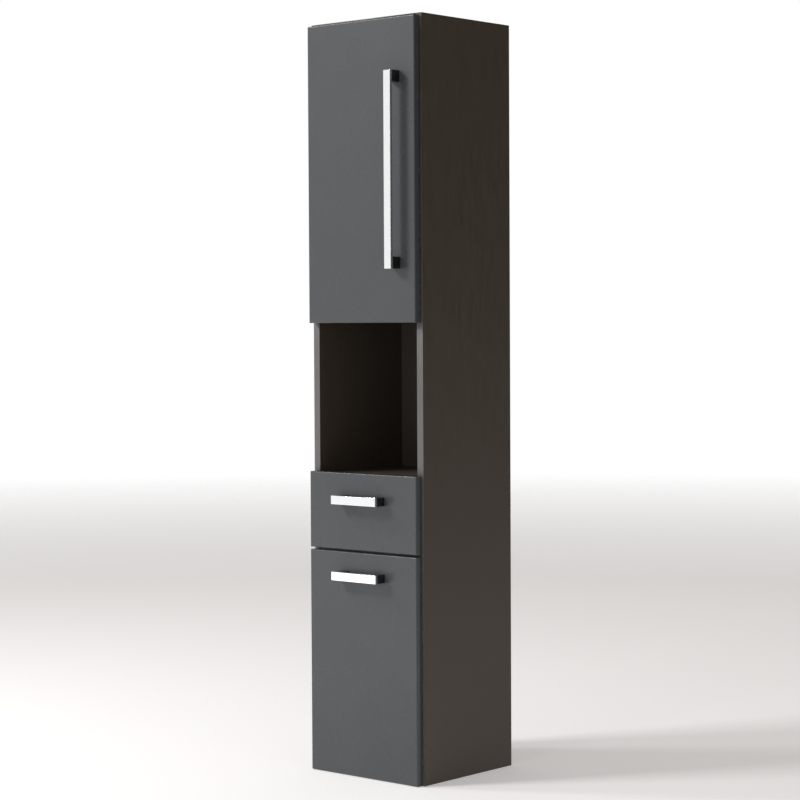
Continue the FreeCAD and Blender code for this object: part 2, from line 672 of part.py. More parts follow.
cam_spots = []
bolt_spots = []
dowel_spots = []
for _, level, depth, cams_above in FIXED_BOARDS:
    height = f"{level} + panel_thickness / 2"
    face = f"{level} + panel_thickness" if cams_above else level
    flip = UPSIDE_DOWN if cams_above else UPRIGHT
    for row in cam_rows(depth):
        y = f"front_plane + {row}"
        cam_spots.append(("-half_inside + cam_reach", y, face, flip))
        cam_spots.append(("half_inside - cam_reach", y, face, HALF_TURN * flip))
        bolt_spots.append(("-half_inside", y, height, FACING_RIGHT))
        bolt_spots.append(("half_inside", y, height, FACING_LEFT))
    for row in dowel_rows(depth):
        y = f"front_plane + {row}"
        dowel_spots.append(("-half_inside", y, height, FACING_RIGHT))
        dowel_spots.append(("half_inside", y, height, FACING_LEFT))
group("cam_locks", (cam, cam_spots))
group("cam_bolts", (cam_bolt, bolt_spots))
group("wood_dowels", (dowel, dowel_spots))

shelf_pin = pattern("shelf_pin")
pin_outline = sketch_on(shelf_pin, "XY", "-pin_length / 2")
circles(pin_outline, [("0", "0")], "pin_radius")
pad(shelf_pin, pin_outline, "pin_length")
pin_spots = []
for _, level in LOOSE_SHELVES:
    for row in PIN_ROWS:
        for x, turn in (("-half_inside", FACING_RIGHT), ("half_inside", FACING_LEFT)):
            pin_spots.append((x, f"front_plane + {row}", f"{level} - pin_radius", turn))
group("shelf_pins", (shelf_pin, pin_spots))


def screw(label, head_radius, head_height, radius, length):
    """A screw drawn upright: the underside of its head is at height 0, its tip below."""
    piece = pattern(label)
    crown = f"{head_radius} * 0.7"
    revolve(
        piece,
        [
            ("0", f"-({length})"),
            (radius, f"-({length})"),
            (radius, "0"),
            (head_radius, "0"),
            (head_radius, f"{head_height} * 0.4"),
            (crown, head_height),
            ("0", head_height),
        ],
    )
    return piece


# --------------------------------------------------------------------------------------------------
# Wall rail and hangers
# --------------------------------------------------------------------------------------------------

# The rail is a folded strip: its foot lies flat on the wall, its upstand stands clear of the wall
wall_rail = new_body("wall_rail", "-rail_length / 2", "wall_plane", "rail_top - rail_height")
rail_outline = sketch_on(wall_rail, "YZ")
polygon(
    rail_outline,
    [
        ("0", "0"),
        ("0", "rail_foot + rail_steel"),
        ("-rail_standoff", "rail_foot + rail_steel"),
        ("-rail_standoff", "rail_height"),
        ("-rail_standoff - rail_steel", "rail_height"),
        ("-rail_standoff - rail_steel", "rail_foot"),
        ("-rail_steel", "rail_foot"),
        ("-rail_steel", "0"),
    ],
)
pad(wall_rail, rail_outline, "rail_length")
rail_holes = sketch_on(wall_rail, "XZ")
circles(
    rail_holes,
    [(f"rail_length / 2 {side} rail_hole_spacing / 2", "rail_foot / 2") for side in "-+"],
    "rail_hole_radius",
)
pocket(wall_rail, rail_holes, "4 * rail_steel", midplane=True)
nodes.append(wall_rail)

# A hanger: a moulded block in the carcass's corner with a steel hook through the back panel.
# Its own origin is on the wall plane at the top of the wall rail.
hanger = pattern("wall_hanger")
hanger_outline = sketch_on(hanger, "YZ")
rectangle(
    hanger_outline,
    "-hanger_back - hanger_length",
    "hanger_crown - hanger_height",
    "-hanger_back",
    "hanger_crown",
)
pad(hanger, hanger_outline, "hanger_width", midplane=True)
round_edges(
    hanger,
    "hanger_softening",
    lambda middle, along: near(abs(along.x), 1) and middle.y < -value("hanger_back + 1"),
)
hook_outline = sketch_on(hanger, "YZ")
polygon(
    hook_outline,
    [
        ("-hanger_back - hanger_length / 2", "hook_lift"),
        ("-hook_back", "hook_lift"),
        ("-hook_back", "-hook_drop"),
        ("-hook_back + hook_steel", "-hook_drop"),
        ("-hook_back + hook_steel", "hook_lift + hook_steel"),
        ("-hanger_back - hanger_length / 2", "hook_lift + hook_steel"),
    ],
)
pad(hanger, hook_outline, "hook_width", midplane=True)
hanger_holes = sketch_on(hanger, "YZ")
circles(hanger_holes, [(f"-({y})", z) for y, z in HANGER_SCREWS], "hanger_screw_radius")
pocket(hanger, hanger_holes, "2 * hanger_width", midplane=True)
hanger_spots = [(f"{side} hanger_x", "wall_plane", "rail_top", UPRIGHT) for side in "-+"]
group("wall_hangers", (hanger, hanger_spots))

hanger_screw = screw(
    "hanger_screw",
    "pan_head_radius",
    "pan_head_height",
    "hanger_screw_radius",
    "hanger_width + hanger_screw_grip",
)
hanger_screw_spots = []
for side, turn in (("-", FACING_RIGHT), ("+", FACING_LEFT)):
    inward = "+" if side == "-" else "-"
    for y, z in HANGER_SCREWS:
        x = f"{side} half_inside {inward} hanger_width"
        hanger_screw_spots.append((x, f"wall_plane - ({y})", f"rail_top + {z}", turn))
group("hanger_screws", (hanger_screw, hanger_screw_spots))

# --------------------------------------------------------------------------------------------------
# Fronts, handles and bumpers
# --------------------------------------------------------------------------------------------------


def front_panel(label, z, height):
    """A front with soft edges all round its face. Its own origin is the face's lower left corner."""
    body = new_body(label, "-front_width / 2", "fronts_face", z)
    sketch = sketch_on(body, "XY")
    rectangle(sketch, "0", "0", "front_width", "front_thickness")
    pad(body, sketch, height)
    round_edges(body, "front_rounding", lambda middle, along: near(middle.y, 0))
    nodes.append(body)
    return body


def bore_front(body, spots, radius, depth):
    """Bore into a front from its back."""
    sketch = sketch_on(body, "XZ", "-front_thickness")
    circles(sketch, spots, radius)
    pocket(body, sketch, depth, backwards=True)


def bow_handle(label, length, x, z, turn):
    """A flat bar on two block legs, drawn level. Its own origin is on the front's face, mid-length."""
    body = new_body(label, x, "fronts_face", z, turn)
    sketch = sketch_on(body, "XY")
    half = f"{length} / 2"
    polygon(
        sketch,
        [
            (f"-{half}", "0"),
            (f"-{half}", "-handle_projection"),
            (half, "-handle_projection"),
            (half, "0"),
            (f"{half} - handle_leg", "0"),
            (f"{half} - handle_leg", "handle_bar - handle_projection"),
            (f"-{half} + handle_leg", "handle_bar - handle_projection"),
            (f"-{half} + handle_leg", "0"),
        ],
    )
    pad(body, sketch, "handle_width", midplane=True)
    bar_back = value("handle_bar - handle_projection")
    leg_foot = value(f"{half} - handle_leg")
    round_edges(
        body,
        "handle_inner_radius",
        lambda middle, along: near(middle.y, bar_back) and near(abs(middle.x), leg_foot),
    )
    bar_face = value("-handle_projection")
    round_edges(body, "handle_softening", lambda middle, along: near(middle.y, bar_face))
    threads = sketch_on(body, "XZ")
    leg_centre = f"{half} - handle_leg_centre"
    circles(threads, [(f"-({leg_centre})", "0"), (leg_centre, "0")], "handle_screw_radius")
    pocket(body, threads, "handle_screw_grip", backwards=True)
    nodes.append(body)


def handle_screw_places(length):
    """Distances of the two screws from the handle's middle, along the handle."""
    return f"-({length} / 2 - handle_leg_centre)", f"{length} / 2 - handle_leg_centre"


# Doors, drawer front and their handles: name, bottom, height, handle length, handle centre from the
# front's lower left corner, and whether the handle stands upright
FRONTS = {
    "upper_door": (
        "upper_door_bottom",
        "upper_door_height",
        "long_handle",
        ("front_width - door_handle_inset", "upper_door_height / 2"),
        True,
    ),
    "lower_door": (
        "bottom_rise",
        "lower_door_height",
        "short_handle",
        ("front_width / 2", "lower_door_height - door_handle_inset"),
        False,
    ),
    "drawer_front": (
        "drawer_bottom",
        "drawer_front_height",
        "short_handle",
        ("front_width / 2", "drawer_front_height - drawer_handle_inset"),
        False,
    ),
}

door_screw = screw(
    "door_handle_screw",
    "pan_head_radius",
    "pan_head_height",
    "handle_screw_radius",
    "front_thickness + handle_screw_grip",
)
drawer_screw = screw(
    "drawer_handle_screw",
    "pan_head_radius",
    "pan_head_height",
    "handle_screw_radius",
    "front_thickness + box_thickness + handle_screw_grip",
)

front_bodies = {}
for name, (low, height, length, (centre_x, centre_z), upright) in FRONTS.items():
    front = front_panel(name, low, height)
    front_bodies[name] = front
    owner = name.replace("_door", "").replace("_front", "")
    places = []
    for reach in handle_screw_places(length):
        if upright:
            places.append((centre_x, f"{centre_z} + {reach}"))
        else:
            places.append((f"{centre_x} + {reach}", centre_z))
    bore_front(front, places, "handle_screw_radius + screw_hole_play", "2 * front_thickness")
    handle_x = f"{centre_x} - front_width / 2"
    handle_z = f"{low} + {centre_z}"
    bow_handle(f"{owner}_handle", length, handle_x, handle_z, ON_END if upright else UPRIGHT)
    piece = drawer_screw if owner == "drawer" else door_screw
    head_y = "fronts_back + box_thickness" if owner == "drawer" else "fronts_back"
    spots = [(f"{x} - front_width / 2", head_y, f"{low} + {z}", FACING_BACK) for x, z in places]
    group(f"{owner}_handle_screws", (piece, spots))

# Soft pads on the back of each door's free side, where it meets the side panel's edge
bumper = pattern("bumper")
revolve(
    bumper,
    [
        ("0", "0"),
        ("bumper_radius", "0"),
        ("bumper_radius", "bumper_height / 2"),
        ("bumper_radius * 0.7", "bumper_height"),
        ("0", "bumper_height"),
    ],
)
for owner in ("upper", "lower"):
    low, height = FRONTS[f"{owner}_door"][:2]
    x = "half_inside + panel_thickness / 2 - front_reveal / 2"
    levels = (f"{low} + bumper_inset", f"{low} + {height} - bumper_inset")
    spots = [(x, "fronts_back", level, FACING_BACK) for level in levels]
    group(f"{owner}_bumpers", (bumper, spots))

# --------------------------------------------------------------------------------------------------
# Concealed hinges
# --------------------------------------------------------------------------------------------------
# Each hinge is a linkage of four pins. Two pins are fixed in the nose of the arm, which reaches into
# the cup when the door is shut, and two are fixed in the cup. The outer link is a pair of plates
# outside the arm's cheeks, the inner link runs between the cheeks. Every pattern piece below has its
# origin at the side panel's inner face, on the carcass's front plane and at the hinge's middle height.

CUP_X = "cup_centre - door_edge"
OUTER_ARM_PIN = ("outer_pin_reach", "-outer_pin_dip")
INNER_ARM_PIN = ("inner_pin_reach", "-inner_pin_dip")
OUTER_CUP_PIN = ("outer_cup_pin_edge - door_edge", "-outer_cup_pin_y")
INNER_CUP_PIN = ("inner_cup_pin_edge - door_edge", "-inner_cup_pin_y")
ARM_SCREWS = ("arm_screw_front", "arm_screw_rear")


def rod(body, centre, low, high, radius):
    """Add a round boss or pin between two heights."""
    sketch = sketch_on(body, "XY", low)
    circles(sketch, [centre], radius)
    pad(body, sketch, f"{high} - ({low})")


def cup_chord(x, radius):
    """Half the width of the cup, up and down, at one place across it."""
    return f"sqrt(({radius}) ^ 2 - ({x} - ({CUP_X})) ^ 2)"


def hinge_plate():
    """Mounting plate: two wings on the side panel and a block that the arm sits on."""
    body = pattern("hinge_plate")
    wings = sketch_on(body, "YZ")
    wing_half = "plate_wing_width / 2"
    rectangle(
        wings,
        f"plate_setback - {wing_half}",
        "-plate_wing",
        f"plate_setback + {wing_half}",
        "plate_wing",
    )
    pad(body, wings, "plate_thickness")
    round_edges(body, "plate_corner", lambda middle, along: near(abs(along.x), 1))
    block = sketch_on(body, "YZ")
    block_half = "cheek_inner - block_play"
    rectangle(block, "web_start", f"-({block_half})", "arm_length", block_half)
    pad(body, block, "arm_height - cheek_thickness")
    holes = sketch_on(body, "YZ")
    centres = [("plate_setback", f"{side} plate_screw_spacing / 2") for side in "-+"]
    circles(holes, centres, "plate_screw_radius")
    pocket(body, holes, "4 * plate_thickness", midplane=True)
    holes = sketch_on(body, "YZ", "arm_height - cheek_thickness")
    circles(holes, [(row, "0") for row in ARM_SCREWS], "arm_screw_radius")
    pocket(body, holes, "arm_screw_length")
    return body


def hinge_arm():
    """Arm: a folded channel, cranked towards the cup, with rounded noses round its two pins."""
    body = pattern("hinge_arm")
    profile = [
        ("cheek_lift", "arm_length"),
        ("cheek_lift", "knee_rear"),
        ("knee_lift", "knee_front"),
        ("throat_lift", "throat_front"),
        ("outer_pin_reach - boss_radius", "-outer_pin_dip"),
        ("inner_pin_reach + boss_radius", "-inner_pin_dip"),
        ("inner_pin_reach + boss_radius", "throat_front"),
        ("crown_reach", "crown_front"),
        ("arm_height", "web_start"),
        ("arm_height", "arm_length"),
    ]
    for low in ("cheek_inner", "-cheek_outer"):
        cheek = sketch_on(body, "XY", low)
        polygon(cheek, profile)
        pad(body, cheek, "cheek_thickness")
        for centre in (OUTER_ARM_PIN, INNER_ARM_PIN):
            rod(body, centre, low, f"{low} + cheek_thickness", "boss_radius")
    web = sketch_on(body, "XY")
    rectangle(web, "arm_height - cheek_thickness", "web_start", "arm_height", "arm_length")
    pad(body, web, "2 * cheek_outer", midplane=True)
    holes = sketch_on(body, "XY")
    circles(holes, [OUTER_ARM_PIN, INNER_ARM_PIN], "pivot_radius")
    pocket(body, holes, "4 * cheek_outer", midplane=True)
    holes = sketch_on(body, "YZ", "arm_height")
    circles(holes, [(row, "0") for row in ARM_SCREWS], "arm_screw_radius")
    pocket(body, holes, "2 * cheek_thickness")
    return body


def hinge_cup():
    """Cup: a bowl let into the door, a flange for two screws, and ears that hold the ends of its pins."""
    body = pattern("hinge_cup")
    flange = sketch_on(body, "XZ", "front_gap - flange_thickness")
    rectangle(
        flange,
        f"{CUP_X} - flange_near",
        "-flange_half_length",
        f"{CUP_X} + flange_far",
        "flange_half_length",
    )
    pad(body, flange, "flange_thickness")
    corner = "flange_half_length - cup_screw_spacing / 2"
    round_edges(body, corner, lambda middle, along: near(abs(along.y), 1))
    bowl = sketch_on(body, "XZ", "front_gap")
    circles(bowl, [(CUP_X, "0")], "cup_radius")
    pad(body, bowl, "cup_depth")
    hollow = sketch_on(body, "XZ", "front_gap - flange_thickness")
    circles(hollow, [(CUP_X, "0")], "cup_radius - cup_wall")
    pocket(body, hollow, "cup_depth + flange_thickness - cup_wall", backwards=True)
    near_x = f"{INNER_CUP_PIN[0]} - pivot_radius - ear_wall"
    far_x = f"{OUTER_CUP_PIN[0]} + pivot_radius + ear_wall"
    middle_x = f"({near_x} + {far_x}) / 2"
    inside_wall = "cup_radius - cup_wall / 2"
    for side in ("", "-"):
        ear = sketch_on(body, "XZ", "front_gap + ear_drop")
        rim = [(x, f"{side}{cup_chord(x, inside_wall)}") for x in (far_x, middle_x, near_x)]
        polygon(ear, [(near_x, f"{side}ear_start"), (far_x, f"{side}ear_start"), *rim])
        pad(body, ear, "cup_depth - ear_drop")
    notches = sketch_on(body, "XZ", "front_gap - flange_thickness")
    for side in ("", "-"):
        rectangle(
            notches,
            f"{CUP_X} - notch_reach",
            f"{side}(link_plate - notch_play)",
            f"{CUP_X} - notch_reach + notch_width",
            f"{side}(link_plate + cheek_thickness + notch_play)",
        )
    pocket(body, notches, "notch_depth", backwards=True)
    holes = sketch_on(body, "XZ", "front_gap")
    screw_x = f"{CUP_X} + cup_screw_offset"
    circles(holes, [(screw_x, f"{side} cup_screw_spacing / 2") for side in "-+"], "cup_screw_radius")
    pocket(body, holes, "4 * flange_thickness", midplane=True)
    holes = sketch_on(body, "XY")
    circles(holes, [OUTER_CUP_PIN, INNER_CUP_PIN], "pivot_radius")
    pocket(body, holes, "2 * cup_radius", midplane=True)
    return body


def outer_link():
    """Outer link: a pair of plates, drawn from the arm's pin at the origin towards the cup."""
    body = pattern("outer_link")
    ends = [("0", "0"), ("-outer_link_length", "0")]
    for low in ("link_plate", "-link_plate - cheek_thickness"):
        bar = sketch_on(body, "XY", low)
        rectangle(bar, "-outer_link_length", "-outer_link_bar", "0", "outer_link_bar")
        pad(body, bar, "cheek_thickness")
        for end in ends:
            rod(body, end, low, f"{low} + cheek_thickness", "outer_boss")
    bores = sketch_on(body, "XY")
    circles(bores, ends, "pivot_radius + pivot_play")
    pocket(body, bores, "4 * link_plate", midplane=True)
    return body


def inner_link():
    """Inner link: a bar bowed round the cup's rim. It ends in a fork, in which the cup's pin runs
    outwards as the door opens, so that the linkage is open there."""
    body = pattern("inner_link")
    fork = "pivot_radius + slot_play + slot_wall"
    long_prong = "inner_link_length + prong_length"
    short_prong = "inner_link_length + short_prong_length"
    root = f"inner_link_length - ({fork})"
    profile = [
        ("0", "-inner_link_bar"),
        ("-bow_start", "-inner_link_bow - inner_link_bar"),
        ("-bow_end", "-inner_link_bow - inner_link_bar"),
        (f"-({root})", f"-({fork})"),
        (f"-({long_prong})", f"-({fork})"),
        (f"-({long_prong})", "0"),
        (f"-({short_prong})", "0"),
        (f"-({short_prong})", fork),
        (f"-({root})", fork),
        ("-bow_end", "-inner_link_bow + inner_link_bar"),
        ("-bow_start", "-inner_link_bow + inner_link_bar"),
        ("0", "inner_link_bar"),
    ]
    bar = sketch_on(body, "XY", "-inner_link_half")
    polygon(bar, profile)
    pad(body, bar, "2 * inner_link_half")
    rod(body, ("0", "0"), "-inner_link_half", "inner_link_half", "boss_radius")
    bore = sketch_on(body, "XY")
    circles(bore, [("0", "0")], "pivot_radius + pivot_play")
    pocket(body, bore, "4 * inner_link_half", midplane=True)
    slot_half = "pivot_radius + slot_play"
    slot = sketch_on(body, "XY")
    rectangle(slot, f"-({long_prong}) - pivot_radius", f"-({slot_half})", "-inner_link_length", slot_half)
    pocket(body, slot, "4 * inner_link_half", midplane=True)
    slot_end = sketch_on(body, "XY")
    circles(slot_end, [("-inner_link_length", "0")], slot_half)
    pocket(body, slot_end, "4 * inner_link_half", midplane=True)
    return body


def rivet(label, low, high):
    """A rivet pin drawn upright between two heights."""
    body = pattern(label)
    rod(body, ("0", "0"), low, high, "pivot_radius")
    return body


def from_hinge(spot, level, turn=UPRIGHT):
    """A spot of the cabinet from one that is given at a hinge's own origin."""
    x, y = spot
    return f"-half_inside + {x}", f"front_plane + {y}", level, turn


plate = hinge_plate()
arm = hinge_arm()
cup = hinge_cup()
outer = outer_link()
inner = inner_link()

# Rivets: short ones above and below for the outer link's plates, long ones for the inner link. Those of
# the cup end in its ears.
ear_end = {
    key: cup_chord(f"{pin[0]} - pivot_radius", "cup_radius - cup_wall")
    for key, pin in (("outer", OUTER_CUP_PIN), ("inner", INNER_CUP_PIN))
}
outer_arm_rivet = rivet("outer_arm_rivet", "cheek_inner", "link_plate + cheek_thickness + rivet_head")
inner_arm_rivet = rivet("inner_arm_rivet", "-cheek_outer", "cheek_outer")
outer_cup_rivet = rivet("outer_cup_rivet", "link_plate", ear_end["outer"])
inner_cup_rivet = rivet("inner_cup_rivet", f"-({ear_end['inner']})", ear_end["inner"])

cup_screw = screw("cup_screw", "cup_head_radius", "cup_head_height", "cup_screw_radius", "cup_screw_length")
plate_screw = screw(
    "plate_screw",
    "pan_head_radius",
    "pan_head_height",
    "plate_screw_radius",
    "plate_screw_length + plate_thickness",
)
arm_screw = screw(
    "arm_screw",
    "arm_head_radius",
    "arm_head_height",
    "arm_screw_radius",
    "arm_screw_length + cheek_thickness",
)

OUTER_LEAN = "-atan2(outer_rise; outer_run)"
INNER_LEAN = "-atan2(inner_rise; inner_run)"
BOTH_WAYS_UP = (UPRIGHT, UPSIDE_DOWN)

for owner, levels in HINGE_HEIGHTS.items():
    door = front_bodies[f"{owner}_door"]
    low = FRONTS[f"{owner}_door"][0]
    bore_front(door, [("cup_centre", f"{level} - {low}") for level in levels], "cup_radius", "cup_depth")
    heights = [f"{level} {side} cup_screw_spacing / 2" for level in levels for side in "-+"]
    screw_holes = [("cup_centre + cup_screw_offset", f"{height} - {low}") for height in heights]
    bore_front(door, screw_holes, "cup_screw_radius", "cup_screw_length - flange_thickness")
    group(f"{owner}_hinge_cups", (cup, [from_hinge(("0", "0"), level) for level in levels]))
    head = (f"{CUP_X} + cup_screw_offset", "flange_thickness - front_gap")
    group(f"{owner}_cup_screws", (cup_screw, [from_hinge(head, height, FACING_BACK) for height in heights]))
    pairs = [from_hinge(OUTER_CUP_PIN, level, turn) for level in levels for turn in BOTH_WAYS_UP]
    singles = [from_hinge(INNER_CUP_PIN, level) for level in levels]
    group(f"{owner}_cup_pins", (outer_cup_rivet, pairs), (inner_cup_rivet, singles))
    turned = [from_hinge(OUTER_ARM_PIN, level, OUTER_LEAN) for level in levels]
    group(f"{owner}_outer_links", (outer, turned))
    turned = [from_hinge(INNER_ARM_PIN, level, INNER_LEAN) for level in levels]
    group(f"{owner}_inner_links", (inner, turned))

all_levels = HINGE_HEIGHTS["upper"] + HINGE_HEIGHTS["lower"]
at_hinges = [from_hinge(("0", "0"), level) for level in all_levels]
group("hinge_plates", (plate, at_hinges))
group("hinge_arms", (arm, at_hinges))
plate_spots = [
    from_hinge(("plate_thickness", "plate_setback"), f"{level} {side} plate_screw_spacing / 2", FACING_RIGHT)
    for level in all_levels
    for side in "-+"
]
group("hinge_plate_screws", (plate_screw, plate_spots))
arm_spots = [
    from_hinge(("arm_height", row), level, FACING_RIGHT) for level in all_levels for row in ARM_SCREWS
]
group("hinge_arm_screws", (arm_screw, arm_spots))
pairs = [from_hinge(OUTER_ARM_PIN, level, turn) for level in all_levels for turn in BOTH_WAYS_UP]
singles = [from_hinge(INNER_ARM_PIN, level) for level in all_levels]
group("hinge_arm_pins", (outer_arm_rivet, pairs), (inner_arm_rivet, singles))

# --------------------------------------------------------------------------------------------------
# Drawer box
# --------------------------------------------------------------------------------------------------

BOX_DOWEL_HEIGHTS = ("box_dowel_low", "box_dowel_high")
FRONT_SCREWS = [
    (f"{side} (box_half - front_screw_inset)", height)
    for side in "-+"
    for height in ("front_screw_low", "front_screw_high")
]
RUNNER_SCREWS = (
    "front_gap + slide_setback + slide_screw_front",
    "front_gap + slide_setback + slide_screw_front + slide_screw_pitch",
)


def drawer_side(label, x, outer_face, inner_face, into_positive):
    """A side of the drawer box: screw holes for the runner outside, groove and dowel holes inside."""
    body = new_body(label, x, "fronts_back", "box_z")
    sketch = sketch_on(body, "XY")
    rectangle(sketch, "0", "0", "box_thickness", "box_length")
    pad(body, sketch, "box_height")
    sketch = sketch_on(body, "YZ", outer_face)
    circles(sketch, [(row, "slide_rise") for row in RUNNER_SCREWS], "slide_screw_radius")
    pocket(body, sketch, "slide_screw_length - slide_steel", backwards=into_positive)
    sketch = sketch_on(body, "YZ", inner_face)
    ends = ("box_thickness / 2", "box_length - box_thickness / 2")
    circles(sketch, [(end, height) for end in ends for height in BOX_DOWEL_HEIGHTS], "box_dowel_radius")
    pocket(body, sketch, "box_dowel_in_side + dowel_end_play", backwards=not into_positive)
    sketch = sketch_on(body, "YZ", inner_face)
    groove_top = "box_bottom_rise + box_bottom_thickness"
    rectangle(sketch, "box_thickness - box_groove", "box_bottom_rise", "box_length", groove_top)
    pocket(body, sketch, "box_groove", backwards=not into_positive)
    nodes.append(body)


def drawer_end(label, y, rise):
    """The inner front or the back of the drawer box, between the sides, with dowel holes in its ends."""
    body = new_body(label, "-box_inside / 2", y, f"box_z + {rise}")
    sketch = sketch_on(body, "XY")
    rectangle(sketch, "0", "0", "box_inside", "box_thickness")
    pad(body, sketch, f"box_height - ({rise})")
    centres = [("box_thickness / 2", f"{height} - ({rise})") for height in BOX_DOWEL_HEIGHTS]
    for left, lift in ((True, "0"), (False, "box_inside")):
        sketch = sketch_on(body, "YZ", lift)
        circles(sketch, centres, "box_dowel_radius")
        pocket(body, sketch, "box_dowel_in_board + dowel_end_play", backwards=left)
    nodes.append(body)
    return body


drawer_side("drawer_side_left", "-box_half", "0", "box_thickness", True)
drawer_side("drawer_side_right", "box_half - box_thickness", "box_thickness", "0", False)
box_front = drawer_end("drawer_box_front", "fronts_back", "0")
drawer_end("drawer_back", "fronts_back + box_length - box_thickness", "box_bottom_rise + box_bottom_thickness")

groove = sketch_on(box_front, "XZ", "-box_thickness")
rectangle(groove, "0", "box_bottom_rise", "box_inside", "box_bottom_rise + box_bottom_thickness")
pocket(box_front, groove, "box_groove", backwards=True)
through = sketch_on(box_front, "XZ")
circles(
    through,
    [(f"box_inside / 2 + ({x})", z) for x, z in FRONT_SCREWS],
    "slide_screw_radius + screw_hole_play",
)
pocket(box_front, through, "4 * box_thickness", midplane=True)
through = sketch_on(box_front, "XZ")
handle_height = "drawer_top - drawer_handle_inset - box_z"
circles(
    through,
    [(f"box_inside / 2 + {reach}", handle_height) for reach in handle_screw_places("short_handle")],
    "handle_screw_radius + screw_hole_play",
)
pocket(box_front, through, "4 * box_thickness", midplane=True)

bore_front(
    front_bodies["drawer_front"],
    [(f"front_width / 2 + ({x})", f"box_z + {z} - drawer_bottom") for x, z in FRONT_SCREWS],
    "slide_screw_radius",
    "front_screw_length - box_thickness",
)
front_screw = screw(
    "front_screw",
    "slide_head_radius",
    "slide_head_height",
    "slide_screw_radius",
    "front_screw_length",
)
screw_seats = [(x, "fronts_back + box_thickness", f"box_z + {z}", FACING_BACK) for x, z in FRONT_SCREWS]
group("drawer_front_screws", (front_screw, screw_seats))

board(
    "drawer_bottom",
    "-(box_inside / 2 + box_groove - groove_play)",
    "fronts_back + box_thickness - box_groove + groove_play",
    "box_z + box_bottom_rise",
    "box_inside + 2 * (box_groove - groove_play)",
    "box_length - box_thickness + box_groove - groove_play",
    "box_bottom_thickness",
)

box_dowel = pattern("box_dowel")
rod(box_dowel, ("0", "0"), "-box_dowel_in_side", "box_dowel_in_board", "box_dowel_radius")
box_dowel_spots = [
    (f"{side} (box_half - box_thickness)", f"fronts_back + {end}", f"box_z + {height}", turn)
    for side, turn in (("-", FACING_RIGHT), ("+", FACING_LEFT))
    for end in ("box_thickness / 2", "box_length - box_thickness / 2")
    for height in BOX_DOWEL_HEIGHTS
]
group("drawer_dowels", (box_dowel, box_dowel_spots))

# --------------------------------------------------------------------------------------------------
# Drawer slides
# --------------------------------------------------------------------------------------------------
# Three rolled profiles run inside each other: the cabinet rail, the middle member, and the runner on
# the drawer's side. Profiles are drawn from the side panel's inner face and the slide's centre line.


def channel(start, end, half, lip):
    """Corners of a channel with its web towards the side panel and lips at its open side."""
    web = f"{start} + slide_steel"
    mouth = f"{end} - slide_steel"
    lower = [
        (start, f"-({half})"),
        (end, f"-({half})"),
        (end, f"-({half}) + {lip}"),
        (mouth, f"-({half}) + {lip}"),
        (mouth, f"-({half}) + slide_steel"),
        (web, f"-({half}) + slide_steel"),
    ]
    return lower + [(x, f"-({z})") for x, z in reversed(lower)]


def hat():
    """Corners of the runner: a crown on the drawer's side and brims behind the middle member's lips."""
    brim = "runner_brim + slide_steel"
    wall = "runner_half - slide_steel"
    lower = [
        ("slide_width", "-runner_half"),
        (brim, "-runner_half"),
        (brim, "-(brim_half)"),
        ("runner_brim", "-(brim_half)"),
        ("runner_brim", f"-({wall})"),
        ("slide_width - slide_steel", f"-({wall})"),
    ]
    return lower + [(x, f"-({z})") for x, z in reversed(lower)]


def slide_member(kind, profile, length, holes_at):
    """One member of both slides, as a left and a right piece."""
    for side, place, inward in (("left", "-half_inside", ""), ("right", "half_inside", "-")):
        body = new_body(f"{kind}_{side}", place, "front_plane + slide_setback", "slide_z")
        sketch = sketch_on(body, "XZ")
        polygon(sketch, [(f"{inward}({x})", z) for x, z in profile])
        pad(body, sketch, length, backwards=True)
        if holes_at:
            holes = sketch_on(body, "YZ", f"{inward}({holes_at})")
            rows = ("slide_screw_front", "slide_screw_front + slide_screw_pitch")
            circles(holes, [(row, "0") for row in rows], "slide_screw_radius")
            pocket(body, holes, "4 * slide_steel", midplane=True)
        nodes.append(body)


slide_member("slide_rail", channel("0", "rail_depth", "slide_height / 2", "rail_lip"), "slide_length", "0")
slide_member(
    "slide_middle",
    channel("middle_stand", "middle_stand + middle_depth", "middle_half", "middle_lip"),
    "middle_length",
    None,
)
slide_member("slide_runner", hat(), "runner_length", "slide_width")

slide_screw = screw(
    "slide_screw",
    "slide_head_radius",
    "slide_head_height",
    "slide_screw_radius",
    "slide_screw_length",
)
rail_spots = []
runner_spots = []
for row in SLIDE_SCREWS:
    y = f"front_plane + {row}"
    rail_spots.append(("slide_steel - half_inside", y, "slide_z", FACING_RIGHT))
    rail_spots.append(("half_inside - slide_steel", y, "slide_z", FACING_LEFT))
    runner_spots.append(("-box_half - slide_steel", y, "slide_z", FACING_LEFT))
    runner_spots.append(("box_half + slide_steel", y, "slide_z", FACING_RIGHT))
group("slide_rail_screws", (slide_screw, rail_spots))
group("slide_runner_screws", (slide_screw, runner_spots))

# --------------------------------------------------------------------------------------------------
# Checks and files
# --------------------------------------------------------------------------------------------------

document.recompute()
for thing in document.Objects:
    faults = {"Invalid", "Error"} & set(thing.State)
    if faults:
        raise RuntimeError(f"{thing.Name} is {', '.join(faults)}")
for node in nodes:
    if node.Shape.isNull() or not node.Shape.isValid() or not node.Shape.Solids:
        raise RuntimeError(f"{node.Label} is not a valid solid")

os.makedirs("parts", exist_ok=True)
for node in nodes:
    node.Shape.exportStep(f"parts/{node.Label}.step")
print(f"{len(nodes)} nodes, {sum(len(node.Shape.Solids) for node in nodes)} solids")
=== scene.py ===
# %% [markdown]
# # Dressing a tall bathroom cabinet
#
# The cabinet's boards, hinges, slides and screws come from its construction model, already in their
# places and at their real size. This lesson gives them their finishes, adds the thin skins, bands and
# fine shapes that such a model leaves out, and sets up a plain studio picture. All lengths are metres,
# and the cabinet stands in the model's own frame: X to the right along the fronts, Y to the back, Z up.

import json
import math

